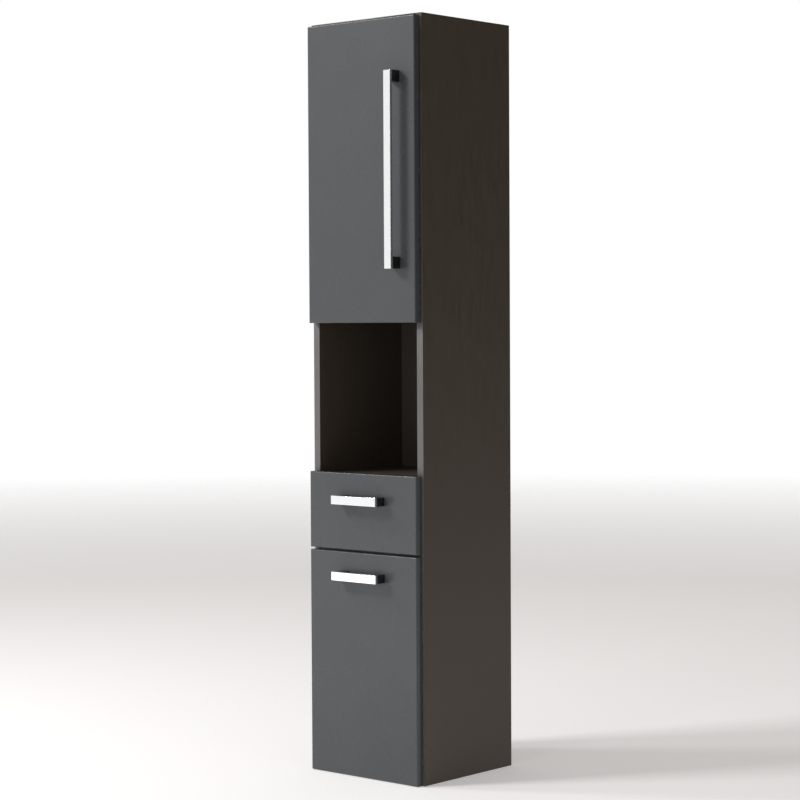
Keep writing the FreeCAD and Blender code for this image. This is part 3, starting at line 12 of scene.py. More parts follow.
import bpy
import bmesh
import numpy as np
from mathutils import Matrix, Vector


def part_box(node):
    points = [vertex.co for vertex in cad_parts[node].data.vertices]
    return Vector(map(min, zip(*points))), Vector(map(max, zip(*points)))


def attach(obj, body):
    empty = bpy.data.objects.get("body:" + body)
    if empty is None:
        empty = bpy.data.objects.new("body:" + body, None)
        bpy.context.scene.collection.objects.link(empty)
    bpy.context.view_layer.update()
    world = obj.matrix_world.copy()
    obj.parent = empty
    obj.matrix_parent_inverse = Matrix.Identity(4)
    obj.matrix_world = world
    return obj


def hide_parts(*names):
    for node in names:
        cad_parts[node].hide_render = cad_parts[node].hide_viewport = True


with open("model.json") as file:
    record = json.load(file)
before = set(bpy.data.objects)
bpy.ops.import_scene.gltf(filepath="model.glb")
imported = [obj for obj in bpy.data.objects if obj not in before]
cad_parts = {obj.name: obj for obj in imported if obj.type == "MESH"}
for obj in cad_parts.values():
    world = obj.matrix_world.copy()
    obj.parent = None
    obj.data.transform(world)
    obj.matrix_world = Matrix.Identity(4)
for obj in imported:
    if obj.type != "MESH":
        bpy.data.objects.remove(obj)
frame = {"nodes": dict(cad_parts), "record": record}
scene = bpy.context.scene
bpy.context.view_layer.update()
MM = 0.001

# %% [markdown]
# ## The camera
#
# The picture was taken from beyond the cabinet's right front corner, at six tenths of its height.
# The camera's place and angles come from fitting the cabinet's own straight edges to the picture. The
# three angles are turned into the camera's axes by hand, because that keeps the small roll exact.

# %% Camera
FRAME_PIXELS = 800
FOCAL_PIXELS = 2242.47
SENSOR_WIDTH = 36.0
CAMERA_PLACE = Vector((3.0736, -3.5577, 0.9412))
YAW, PITCH, ROLL = (math.radians(angle) for angle in (41.143, 2.04, 0.291))


def camera_axes(yaw, pitch, roll):
    """Right, up and backward directions of a camera that looks along +Y turned by the yaw to the left,
    then down by the pitch, then rolled about its own line of sight."""
    forward = Vector((-math.sin(yaw) * math.cos(pitch), math.cos(yaw) * math.cos(pitch), -math.sin(pitch)))
    right = Vector((math.cos(yaw), math.sin(yaw), 0))
    down = forward.cross(right)
    rolled_right = math.cos(roll) * right + math.sin(roll) * down
    rolled_down = math.cos(roll) * down - math.sin(roll) * right
    return rolled_right, -rolled_down, -forward


lens = bpy.data.cameras.new("camera")
lens.sensor_width = SENSOR_WIDTH
lens.lens = FOCAL_PIXELS / FRAME_PIXELS * SENSOR_WIDTH
camera = bpy.data.objects.new("camera", lens)
turn = Matrix(camera_axes(YAW, PITCH, ROLL)).transposed()
camera.matrix_world = Matrix.Translation(CAMERA_PLACE) @ turn.to_4x4()
scene.collection.objects.link(camera)
scene.camera = camera
print("focal length:", round(lens.lens, 1), "mm")

# %% [markdown]
# ## Light
#
# A bright softbox high at the left front throws the handles' shadows to the lower right. A wide, weak
# card stands lower at the left, where the polished handles mirror it, so that their flat bars look
# white. Two small lamps draw lines of light along the fronts' softened edges. The upright edges mirror
# the narrow strip in front, and the level edges mirror the lamp high at the left. The right side gets
# no more than the room, the floor's light and a graze from that strip, and so it stays dim and a little
# warm. Towards the back right the room is nearly black, because polished metal only looks like metal
# where it has something dark to mirror. What the camera sees behind the cabinet is plain and pale,
# whatever the room's light is.

# %% Softboxes and room
LOOK_AT = Vector((0.0, -0.14, 0.85))


def softbox(name, place, width, height, watts, colour):
    """A rectangular lamp at a place, turned towards the middle of the cabinet's front."""
    lamp = bpy.data.lights.new(name, "AREA")
    lamp.shape = "RECTANGLE"
    lamp.size = width
    lamp.size_y = height
    lamp.energy = watts
    lamp.color = colour
    stand = bpy.data.objects.new(name, lamp)
    facing = (LOOK_AT - Vector(place)).to_track_quat("-Z", "Y")
    stand.matrix_world = Matrix.Translation(place) @ facing.to_matrix().to_4x4()
    scene.collection.objects.link(stand)


WARM = (1.0, 0.985, 0.96)
COOL = (0.93, 0.97, 1.0)
PALE = (1.0, 0.99, 0.97)
softbox("key_softbox", place=(-2.0, -2.9, 3.2), width=0.8, height=0.8, watts=90, colour=WARM)
softbox("left_card", place=(-2.1, -2.5, 1.05), width=1.9, height=2.1, watts=8, colour=COOL)
softbox("front_strip", place=(0.5, -4.2, 1.05), width=0.3, height=2.5, watts=13, colour=PALE)
softbox("high_left_lamp", place=(-2.0, -1.35, 2.75), width=0.35, height=0.35, watts=20, colour=PALE)

ROOM_LIGHT = (0.36, 0.33, 0.31, 1)
ROOM_DARK = (0.035, 0.033, 0.032, 1)
DARK_WAY = (0.66, 0.75, 0.0)
DARK_FROM, DARK_FULL = 0.55, 0.85
BACKGROUND = (1.0, 1.0, 1.0, 1)
# A Mix node has sockets for numbers and vectors too. These are the ones for its colours.
MIX_FIRST, MIX_SECOND, MIX_RESULT = 6, 7, 2
world = bpy.data.worlds.new("room")
scene.world = world
world.use_nodes = True
sky = world.node_tree
sky.nodes.clear()
room = sky.nodes.new("ShaderNodeBackground")
way = sky.nodes.new("ShaderNodeTexCoord")
towards_dark = sky.nodes.new("ShaderNodeVectorMath")
towards_dark.operation = "DOT_PRODUCT"
towards_dark.inputs[1].default_value = DARK_WAY
darkness = sky.nodes.new("ShaderNodeMapRange")
darkness.inputs["From Min"].default_value = DARK_FROM
darkness.inputs["From Max"].default_value = DARK_FULL
shade = sky.nodes.new("ShaderNodeMix")
shade.data_type = "RGBA"
shade.inputs[MIX_FIRST].default_value = ROOM_LIGHT
shade.inputs[MIX_SECOND].default_value = ROOM_DARK
sky.links.new(way.outputs["Generated"], towards_dark.inputs[0])
sky.links.new(towards_dark.outputs["Value"], darkness.inputs["Value"])
sky.links.new(darkness.outputs[0], shade.inputs[0])
sky.links.new(shade.outputs[MIX_RESULT], room.inputs["Color"])
seen = sky.nodes.new("ShaderNodeBackground")
seen.inputs["Color"].default_value = BACKGROUND
ray = sky.nodes.new("ShaderNodeLightPath")
choice = sky.nodes.new("ShaderNodeMixShader")
sky_out = sky.nodes.new("ShaderNodeOutputWorld")
sky.links.new(ray.outputs["Is Camera Ray"], choice.inputs[0])
sky.links.new(room.outputs[0], choice.inputs[1])
sky.links.new(seen.outputs[0], choice.inputs[2])
sky.links.new(choice.outputs[0], sky_out.inputs["Surface"])
scene.view_settings.view_transform = "Standard"
scene.view_settings.look = "None"

# %% [markdown]
# ## Materials
#
# Every finish is a small tree of nodes that reads Object coordinates, which are metres of the cabinet
# itself, so a pattern keeps its size and place on every board. A helper makes the tree's fixed part: one
# surface shader, a pattern of noise at a given size, and a mix of two colours. Roughness and bump come
# from noise as well, because even a smooth finish catches the light unevenly.

# %% Helpers for materials


class Finish:
    """A material under construction: its node tree, its surface shader and its Object coordinates."""

    def __init__(self, name, roughness=0.5, metallic=0.0):
        self.material = bpy.data.materials.new(name)
        self.material.use_nodes = True
        self.tree = self.material.node_tree
        self.shader = self.tree.nodes["Principled BSDF"]
        self.shader.inputs["Roughness"].default_value = roughness
        self.shader.inputs["Metallic"].default_value = metallic
        self.place = self.tree.nodes.new("ShaderNodeTexCoord").outputs["Object"]

    def link(self, source, target):
        self.tree.links.new(source, target)

    def stretched(self, scale):
        """Object coordinates stretched along each axis, for a grain or a brushing."""
        mapping = self.tree.nodes.new("ShaderNodeMapping")
        mapping.inputs["Scale"].default_value = scale
        self.link(self.place, mapping.inputs["Vector"])
        return mapping.outputs[0]

    def noise(self, size, detail=3.0, place=None):
        """Cloudy values round one half whose patches are about `size` metres wide."""
        node = self.tree.nodes.new("ShaderNodeTexNoise")
        node.inputs["Scale"].default_value = 1 / size
        node.inputs["Detail"].default_value = detail
        self.link(place or self.place, node.inputs["Vector"])
        return node.outputs["Fac"]

    def spread(self, value, low, high, start=0.3, end=0.7):
        """A value that runs from `low` to `high` while the pattern runs from `start` to `end`."""
        node = self.tree.nodes.new("ShaderNodeMapRange")
        node.inputs["From Min"].default_value = start
        node.inputs["From Max"].default_value = end
        node.inputs["To Min"].default_value = low
        node.inputs["To Max"].default_value = high
        self.link(value, node.inputs["Value"])
        return node.outputs[0]

    def blend(self, share, first, second):
        """A colour between two, each a colour or another node's output."""
        node = self.tree.nodes.new("ShaderNodeMix")
        node.data_type = "RGBA"
        self.link(share, node.inputs["Factor"])
        for colour, name in ((first, "A"), (second, "B")):
            socket = [put for put in node.inputs if put.name == name and put.type == "RGBA"][0]
            if isinstance(colour, tuple):
                socket.default_value = (*colour, 1)
            else:
                self.link(colour, socket)
        return [out for out in node.outputs if out.type == "RGBA"][0]

    def colour(self, source):
        self.link(source, self.shader.inputs["Base Color"])

    def rough(self, value, low, high):
        self.link(self.spread(value, low, high), self.shader.inputs["Roughness"])

    def bump(self, value, depth, strength=1.0):
        """Fine relief whose hills are `depth` metres high."""
        node = self.tree.nodes.new("ShaderNodeBump")
        node.inputs["Distance"].default_value = depth
        node.inputs["Strength"].default_value = strength
        self.link(value, node.inputs["Height"])
        self.link(node.outputs[0], self.shader.inputs["Normal"])

    def set(self, socket, value):
        """A number that is the same all over, set on the shader itself."""
        self.shader.inputs[socket].default_value = value


# %% [markdown]
# ### The fronts' satin lacquer
#
# The doors and the drawer front are sprayed in one cool middle grey. Sprayed lacquer is never quite
# even: large soft clouds shift its tone by a few percent, its polish drifts a little, and it dries with
# a fine skin like the peel of an orange. All three are noise: the tone at 16 centimetres, the polish at
# 6 centimetres and the skin at under a millimetre.

# %% Lacquer
FRONT_GREY = (0.066, 0.072, 0.079)
FRONT_GREY_DEEP = (0.062, 0.067, 0.073)
LACQUER_SHEEN = 0.42


def satin_lacquer():
    """One grey in slow clouds, an almost even polish, and a skin a thousandth of a millimetre deep."""
    finish = Finish("satin_lacquer")
    clouds = finish.noise(size=0.16)
    finish.colour(finish.blend(finish.spread(clouds, 0, 1), FRONT_GREY, FRONT_GREY_DEEP))
    finish.rough(finish.noise(size=0.06, detail=1.0), low=0.26, high=0.285)
    finish.set("Specular IOR Level", LACQUER_SHEEN)
    finish.bump(finish.noise(size=0.0007, detail=1.0), depth=0.000001, strength=0.3)
    return finish.material


lacquer = satin_lacquer()
print("made", lacquer.name)

# %% [markdown]
# ### Coated board and its edge band
#
# The carcass is chipboard with a dark brown-grey coating that is pressed with a fine, shallow grain. The
# band on its front edges is a plastic strip in a paler, nearly neutral grey, ironed on and scraped
# almost flush. Where a board was cut and left bare, as on the sides' rear edges, the chips show: that is
# a pattern of cells in straw colours, used in the last 0.3 millimetres before the sides' rear.

# %% Board, band and bare chipboard
CARCASS_BROWN = (0.064, 0.050, 0.039)
CARCASS_BROWN_LIGHT = (0.076, 0.061, 0.048)
BAND_GREY = (0.125, 0.123, 0.120)
BAND_SHADE = 0.93
BAND_GREY_DEEP = tuple(BAND_SHADE * part for part in BAND_GREY)
CHIP_PALE = (0.52, 0.38, 0.22)
CHIP_DARK = (0.30, 0.20, 0.11)
CHIPS_PER_METRE = 700
BARE_FROM = 0.3 * MM
BARE_FULL = 0.2 * MM


def chipboard(finish):
    """The colour of a cut through chips and glue."""
    chips = finish.tree.nodes.new("ShaderNodeTexVoronoi")
    chips.inputs["Scale"].default_value = CHIPS_PER_METRE
    finish.link(finish.place, chips.inputs["Vector"])
    shade = finish.tree.nodes.new("ShaderNodeSeparateColor")
    finish.link(chips.outputs["Color"], shade.inputs["Color"])
    return finish.blend(shade.outputs[0], CHIP_PALE, CHIP_DARK)


def coated_board():
    """Grain drawn out along Z, calmed by slow clouds, and bare chips at the sides' rear."""
    finish = Finish("coated_board")
    grain = finish.noise(size=0.004, detail=4.0, place=finish.stretched((1.0, 1.0, 0.08)))
    clouds = finish.noise(size=0.2)
    coat = finish.blend(finish.spread(grain, 0, 1), CARCASS_BROWN, CARCASS_BROWN_LIGHT)
    coat = finish.blend(finish.spread(clouds, 0, 0.35), coat, CARCASS_BROWN)
    axes = finish.tree.nodes.new("ShaderNodeSeparateXYZ")
    finish.link(finish.place, axes.inputs[0])
    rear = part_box("side_panel_left")[1].y
    bare = finish.spread(axes.outputs["Y"], 0, 1, rear - BARE_FROM, rear - BARE_FULL)
    finish.colour(finish.blend(bare, coat, chipboard(finish)))
    finish.rough(grain, low=0.36, high=0.5)
    finish.bump(grain, depth=0.00003, strength=0.5)
    return finish.material


def edge_band():
    """Smooth plastic strip, a little uneven in tone and polish."""
    finish = Finish("edge_band")
    tone = finish.noise(size=0.05)
    finish.colour(finish.blend(finish.spread(tone, 0, 1), BAND_GREY, BAND_GREY_DEEP))
    finish.rough(finish.noise(size=0.01), low=0.3, high=0.4)
    finish.bump(finish.noise(size=0.0009, detail=1.0), depth=0.000008, strength=0.5)
    return finish.material


board = coated_board()
band = edge_band()
print("made", board.name, "and", band.name)

# %% [markdown]
# ### Metals, plastics and woods
#
# Chrome is a nearly perfect mirror, so what it looks like comes from the lamps. In the picture the handles'
# bars are white and the legs behind them nearly black, so the legs are given a dark colour. That colour is
# painted shade, standing in for the shaded door face that the legs mirror.
# Nickel-plated steel is duller and shows the rolling direction of the strip it was folded from. Cast
# zinc is duller still and grainy. The rest are everyday plastics, beech and hardboard.

# %% Metals


def metal(name, bright, dark, rough, patch, relief, stretch=(1.0, 1.0, 1.0)):
    """A metal whose tone and polish vary in patches, stretched along the way it was worked."""
    finish = Finish(name, metallic=1.0)
    pattern = finish.noise(size=patch, detail=3.0, place=finish.stretched(stretch))
    finish.colour(finish.blend(finish.spread(pattern, 0, 1), bright, dark))
    finish.rough(pattern, *rough)
    finish.bump(pattern, depth=relief, strength=0.4)
    return finish.material


HANDLE_BAR = 6 * MM
BAR_BRIGHT = (0.93, 0.935, 0.94)
BAR_DULL = (0.9, 0.905, 0.915)
# The legs' colour is painted shade: a dark tone that stands in for the shaded door face they mirror. It
# fades in just behind the bar's back.
LEG_PAINTED_SHADE = (0.11, 0.115, 0.11)
LEG_SHADE_FADE = 0.4 * MM


def bow_chrome():
    """Mirror chrome on the bar, and painted shade on the legs behind it: a much darker colour."""
    finish = Finish("mirror_chrome", metallic=1.0)
    clouds = finish.noise(size=0.02)
    axes = finish.tree.nodes.new("ShaderNodeSeparateXYZ")
    finish.link(finish.place, axes.inputs[0])
    bar_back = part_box("upper_handle")[0].y + HANDLE_BAR
    # Painted shade on the legs: everything behind the bar's back gets the dark tone.
    painted_leg_shade = finish.spread(axes.outputs["Y"], 0, 1, bar_back, bar_back + LEG_SHADE_FADE)
    bar = finish.blend(finish.spread(clouds, 0, 1), BAR_BRIGHT, BAR_DULL)
    finish.colour(finish.blend(painted_leg_shade, bar, LEG_PAINTED_SHADE))
    finish.rough(clouds, low=0.03, high=0.06)
    finish.bump(clouds, depth=0.000001, strength=0.4)
    return finish.material


chrome = bow_chrome()
plated = metal(
    "rolled_nickel_steel",
    bright=(0.66, 0.66, 0.64),
    dark=(0.56, 0.56, 0.545),
    rough=(0.2, 0.34),
    patch=0.0012,
    relief=0.000006,
    stretch=(1.0, 0.12, 1.0),
)
cast = metal(
    "cast_zinc",
    bright=(0.55, 0.55, 0.54),
    dark=(0.44, 0.44, 0.43),
    rough=(0.38, 0.55),
    patch=0.0008,
    relief=0.00003,
)
print("made", chrome.name, plated.name, cast.name)

# %% Plastics and woods


def moulded(name, first, second, rough):
    """Moulded plastic: an even colour with a faint cloud and an eroded skin."""
    finish = Finish(name)
    finish.colour(finish.blend(finish.spread(finish.noise(size=0.01), 0, 1), first, second))
    finish.rough(finish.noise(size=0.002), *rough)
    finish.bump(finish.noise(size=0.0005, detail=2.0), depth=0.00001, strength=0.5)
    return finish.material


def wood(name, pale, deep, pores, stretch):
    """Wood or pressed fibre: streaks, drawn out where `stretch` is small, and a relief of finer pores."""
    finish = Finish(name)
    streaks = finish.noise(size=0.003, detail=5.0, place=finish.stretched(stretch))
    finish.colour(finish.blend(finish.spread(streaks, 0, 1), pale, deep))
    finish.rough(streaks, low=0.5, high=0.7)
    pits = finish.noise(size=pores, detail=3.0, place=finish.stretched(stretch))
    finish.bump(pits, depth=0.00004, strength=0.6)
    return finish.material


BUMPER_CLEARNESS = 0.35
hanger_plastic = moulded("hanger_moulding", (0.62, 0.62, 0.6), (0.56, 0.56, 0.54), (0.4, 0.5))
rubber = moulded("clear_bumper", (0.62, 0.63, 0.64), (0.55, 0.56, 0.57), (0.25, 0.35))
bumper_shader = rubber.node_tree.nodes["Principled BSDF"]
bumper_shader.inputs["Transmission Weight"].default_value = BUMPER_CLEARNESS
drawer_board = moulded("drawer_wrap", (0.46, 0.46, 0.45), (0.42, 0.42, 0.41), (0.4, 0.5))
beech = wood("beech_dowel", (0.6, 0.42, 0.25), (0.48, 0.31, 0.17), 0.0006, (0.1, 1.0, 1.0))
hardboard = wood("pressed_fibre", (0.062, 0.051, 0.044), (0.054, 0.044, 0.037), 0.0009, (1.0, 1.0, 1.0))
print("made", hanger_plastic.name, rubber.name, drawer_board.name, beech.name, hardboard.name)

# %% [markdown]
# ## Finishes on the construction's pieces
#
# A table says by name which pieces have which finish. Every piece gets exactly one, and what the table
# doesn't name is nickel-plated steel.

# %% Put the materials on
FINISHES = (
    (lacquer, ("upper_door", "lower_door", "drawer_front")),
    (chrome, ("upper_handle", "lower_handle", "drawer_handle")),
    (hardboard, ("back_panel", "drawer_bottom")),
    (beech, ("wood_dowels", "drawer_dowels")),
    (rubber, ("upper_bumpers", "lower_bumpers")),
    (hanger_plastic, ("wall_hangers",)),
    (cast, ("cam_locks", "hinge_plates")),
    (drawer_board, ("drawer_side_left", "drawer_side_right", "drawer_back", "drawer_box_front")),
    (
        board,
        (
            "side_panel_left",
            "side_panel_right",
            "bottom_panel",
            "drawer_divider",
            "niche_floor",
            "niche_ceiling",
            "top_panel",
            "upper_shelf_low",
            "upper_shelf_high",
            "lower_shelf",
        ),
    ),
)
finish_of = {node: material for material, nodes in FINISHES for node in nodes}
for name, node in frame["nodes"].items():
    node.data.materials.clear()
    node.data.materials.append(finish_of.get(name, plated))
print("plated steel on", len(frame["nodes"]) - len(finish_of), "nodes")

# %% [markdown]
# ## Surfaces from grids
#
# The new pieces are surfaces worked out as arrays. A grid of points with rows and columns becomes a mesh
# whose faces join each point to its neighbours. The grid closes on itself along its columns, as a tube
# does, and its first and last rows are closed with one flat face each.

# %% Helpers for surfaces


def grid_faces(rows, columns):
    """Corners of the faces between neighbouring rows, where the last column joins the first."""
    row, column = np.meshgrid(np.arange(rows - 1), np.arange(columns), indexing="ij")
    following = (column + 1) % columns
    corners = (row * columns + column, row * columns + following)
    above = ((row + 1) * columns + following, (row + 1) * columns + column)
    return np.stack(corners + above, axis=-1).reshape(-1, 4)


SAME_POINT = 1e-7


def piece(name, points, material, body):
    """A mesh object from one grid of points of shape (rows, columns, 3), or from several of them."""
    grids = points if isinstance(points, list) else [points]
    corners = np.concatenate([grid.reshape(-1, 3) for grid in grids])
    faces = []
    start = 0
    for grid in grids:
        rows, columns = grid.shape[:2]
        faces.extend((grid_faces(rows, columns) + start).tolist())
        faces.append(list(range(start + columns - 1, start - 1, -1)))
        faces.append(list(range(start + (rows - 1) * columns, start + rows * columns)))
        start += rows * columns
    mesh = bpy.data.meshes.new(name)
    mesh.from_pydata(corners.tolist(), [], faces)
    shape = bmesh.new()
    shape.from_mesh(mesh)
    bmesh.ops.remove_doubles(shape, verts=shape.verts, dist=SAME_POINT)
    bmesh.ops.recalc_face_normals(shape, faces=shape.faces)
    shape.to_mesh(mesh)
    shape.free()
    mesh.shade_smooth()
    mesh.materials.append(material)
    made = bpy.data.objects.new(name, mesh)
    scene.collection.objects.link(made)
    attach(made, body)
    return made


def rounded_rectangle(half_width, half_height, radius, steps=5, margin=0.35 * MM):
    """Points of a rectangle with round corners, anticlockwise. Each corner is a quarter circle, and a
    point `margin` before and after it keeps the flat sides flat when the mesh is shaded smooth."""
    quarter = np.linspace(0, np.pi / 2, steps)
    loop = []
    for corner, (sign_x, sign_y) in enumerate(((1, 1), (-1, 1), (-1, -1), (1, -1))):
        angle = quarter + corner * np.pi / 2
        arc = np.stack([np.cos(angle), np.sin(angle)], axis=1) * radius
        arc += (sign_x * (half_width - radius), sign_y * (half_height - radius))
        before = arc[0] - margin * np.array([-np.sin(angle[0]), np.cos(angle[0])])
        after = arc[-1] + margin * np.array([-np.sin(angle[-1]), np.cos(angle[-1])])
        loop.append(np.vstack([before, arc, after]))
    return np.concatenate(loop)


# %% [markdown]
# ## The fronts' lacquer skin
#
# On the real fronts a skin of primer and lacquer wraps the face and runs round the softened edges onto
# the sides. It is drawn as a thin closed shell over each board: rectangles with round corners, one
# inside the other, that step over the quarter circle between face and side. A shell is better than a
# box with a bevel here, because its rounding is exact and its back stays open for the hinge cups.

# %% Lacquer skins
FRONT_ROUNDING = 2.5 * MM
SKIN_PROUD = 0.15 * MM
SKIN_SUNK = 0.2 * MM
SKIN_CORNER = 0.45 * MM
SKIN_REAR = 0.6 * MM
ROUNDING_ROWS = 9
# A row this close to the rounding keeps the side and the face flat when the mesh is shaded smooth.
SKIN_MARGIN = 0.4 * MM
FACE_INSET = 6 * MM
CORNER_GROWTH = 0.2


def skin(name, node, body):
    """The shell over one front. Row by row it follows r = (inset, depth) from the rear edge of the
    side, up the side, round the quarter circle inset = R(1 - sin a), depth = R(1 - cos a), and onto the
    face. One grid goes down the inner surface, over the rim at the rear and up the outer surface. Only
    its first and last rows are closed, and both lie at the face, so nothing spans the hinge cups."""
    low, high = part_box(node)
    centre = (low + high) / 2
    half = (high - low) / 2
    angle = np.linspace(np.pi / 2, 0, ROUNDING_ROWS)
    radius = FRONT_ROUNDING
    side_depth = [2 * half.y - SKIN_REAR, radius + SKIN_MARGIN]
    face_inset = [radius + SKIN_MARGIN, radius + FACE_INSET]
    inset = np.concatenate([[0, 0], radius * (1 - np.sin(angle)), face_inset])
    depth = np.concatenate([side_depth, radius * (1 - np.cos(angle)), [0, 0]])

    def rows(offset):
        """Rings of the shell, `offset` outside the board."""
        rings = []
        for step, back in zip(inset, depth):
            corner = SKIN_CORNER + step * CORNER_GROWTH
            loop = rounded_rectangle(half.x + offset - step, half.z + offset - step, corner)
            y = np.full(len(loop), low.y - offset + back)
            rings.append(np.stack([centre.x + loop[:, 0], y, centre.z + loop[:, 1]], axis=1))
        return np.array(rings)

    to_rear = rows(-SKIN_SUNK)[::-1]
    to_face = rows(SKIN_PROUD)
    return piece(name, np.concatenate([to_rear, to_face]), lacquer, body)


FRONT_BODIES = {
    "upper_door": "upper_door_leaf",
    "lower_door": "lower_door_leaf",
    "drawer_front": "drawer",
}
for node, body in FRONT_BODIES.items():
    made = skin(f"{node}_skin", node, body)
    print(made.name, len(made.data.polygons), "faces")

# %% [markdown]
# ## Edge bands
#
# A band is a strip a hair wider than the board is thick, with its long corners scraped round. It is a
# rounded section carried in a straight line along the board's front edge. The section reaches one and a
# half millimetres into the board, so that the band is seated on it, and stands a hair proud of it, which
# is less than the room that the bumpers behind the doors leave.

# %% Bands on the front edges
BAND_PROUD = 0.1 * MM
BAND_LIP = 0.15 * MM
BAND_CORNER = 0.7 * MM
BAND_DEPTH = 1.6 * MM


def front_band(node, upright):
    """Carry the rounded section along the board's front edge, from end to end."""
    low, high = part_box(node)
    middle = (low + high) / 2
    thickness = high.x - low.x if upright else high.z - low.z
    section = rounded_rectangle(thickness / 2 + BAND_LIP, BAND_DEPTH / 2, BAND_CORNER)
    depth = low.y - BAND_PROUD + BAND_DEPTH / 2 + section[:, 1]
    ends = (low.z, high.z) if upright else (low.x, high.x)
    rows = []
    for end in ends:
        along = np.full(len(section), end)
        if upright:
            rows.append(np.stack([middle.x + section[:, 0], depth, along], axis=1))
        else:
            rows.append(np.stack([along, depth, middle.z + section[:, 0]], axis=1))
    piece(f"{node}_band", np.array(rows), band, "root")


for node in ("side_panel_left", "side_panel_right"):
    front_band(node, True)
for node in finish_of:
    if finish_of[node] is board and not node.startswith("side_panel"):
        front_band(node, False)

# %% [markdown]
# ## Handles
#
# Each handle is bent and ground from one flat bar, so its outline is a wide U with block legs. The
# outline is carried across the bar's width, and drawn in a little near both faces along a quarter
# circle, which gives every edge the small soft line that polishing leaves.

# %% Handles
HANDLE_LEG = 24 * MM
HANDLE_SOFT = 0.7 * MM
FOOT_CORNER = 0.75 * MM
OUTER_CORNER = 1.2 * MM
INNER_CORNER = 2.2 * MM
# A point or row this close to an arc keeps the flat beside it flat when the mesh is shaded smooth.
HANDLE_MARGIN = 0.3 * MM
ARC_POINTS = 6


def rounded_outline(corners, radii):
    """A closed outline whose corners are replaced by arcs of their own radius. Each arc starts where the
    circle touches the two sides: radius / tan(half the corner's angle) from the corner."""
    loop = []
    count = len(corners)
    for index in range(count):
        corner = np.array(corners[index], float)
        back = np.array(corners[index - 1], float) - corner
        ahead = np.array(corners[(index + 1) % count], float) - corner
        back /= np.linalg.norm(back)
        ahead /= np.linalg.norm(ahead)
        half = math.acos(float(back @ ahead)) / 2
        reach = radii[index] / math.tan(half)
        bisector = (back + ahead) / np.linalg.norm(back + ahead)
        centre = corner + bisector * radii[index] / math.sin(half)
        first = corner + back * reach - centre
        last = corner + ahead * reach - centre
        share = np.linspace(0, 1, ARC_POINTS)[:, None]
        arc = first * (1 - share) + last * share
        arc = centre + arc / np.linalg.norm(arc, axis=1, keepdims=True) * radii[index]
        loop.append(np.vstack([arc[0] + back * HANDLE_MARGIN, arc, arc[-1] + ahead * HANDLE_MARGIN]))
    return np.concatenate(loop)


def drawn_in(outline, step):
    """The outline moved inwards by `step` along its own normals, which halve each pair of sides."""
    along = np.roll(outline, -1, axis=0) - outline
    along /= np.linalg.norm(along, axis=1, keepdims=True)
    normal = np.stack([-along[:, 1], along[:, 0]], axis=1)
    both = normal + np.roll(normal, 1, axis=0)
    return outline + both * (step * 2 / np.sum(both * both, axis=1))[:, None]


def handle(name, body, upright):
    """A bow handle in the place of the model's own. Across the bar's width, the outline keeps its size
    on the flat. At the distance flat + R sin a from the middle it is drawn in by R (1 - cos a)."""
    low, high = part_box(name)
    length = high.z - low.z if upright else high.x - low.x
    width = high.x - low.x if upright else high.z - low.z
    foot, face = high.y, low.y
    half = length / 2
    corners = [
        (-half, foot),
        (-half, face),
        (half, face),
        (half, foot),
        (half - HANDLE_LEG, foot),
        (half - HANDLE_LEG, face + HANDLE_BAR),
        (-half + HANDLE_LEG, face + HANDLE_BAR),
        (-half + HANDLE_LEG, foot),
    ]
    front_radii = [FOOT_CORNER, OUTER_CORNER, OUTER_CORNER, FOOT_CORNER]
    back_radii = [FOOT_CORNER, INNER_CORNER, INNER_CORNER, FOOT_CORNER]
    outline = rounded_outline(corners, front_radii + back_radii)
    angle = np.linspace(0, np.pi / 2, ARC_POINTS)
    pull = HANDLE_SOFT * (1 - np.cos(angle))
    steps = np.concatenate([pull[::-1], [0, 0], pull])
    flat = width / 2 - HANDLE_SOFT
    rise = flat + HANDLE_SOFT * np.sin(angle)
    across = np.concatenate([-rise[::-1], [HANDLE_MARGIN - flat, flat - HANDLE_MARGIN], rise])
    rings = []
    for step, side in zip(steps, across):
        loop = drawn_in(outline, step)
        sideways = np.full(len(loop), side)
        rings.append(np.stack([loop[:, 0], loop[:, 1], sideways], axis=1))
    rings = np.array(rings)
    middle = (low + high) / 2
    if upright:
        points = np.stack([middle.x + rings[..., 2], rings[..., 1], middle.z + rings[..., 0]], axis=-1)
    else:
        points = np.stack([middle.x + rings[..., 0], rings[..., 1], middle.z + rings[..., 2]], axis=-1)
    made = piece(f"{name}_bow", points, chrome, body)
    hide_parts(name)
    return made


for name, body in (
    ("upper_handle", "upper_door_leaf"),
    ("lower_handle", "lower_door_leaf"),
    ("drawer_handle", "drawer"),
):
    made = handle(name, body, name == "upper_handle")
    print(made.name, len(made.data.polygons), "faces")

# %% [markdown]
# ## Screws
#
# A screw is turned round its own line, so its surface is a profile carried round a circle. The cross in
# its head isn't round: there the height is lowered wherever a point lies within one of two crossed bars.
# Each screw takes its place, direction, head and shank from the loose solid that it stands in for. To
# find the loose solids of a node, every triangle spreads the lowest number of its corners until nothing
# changes any more.

# %% Loose solids of a node
SAME_PLACE = 0.001 * MM


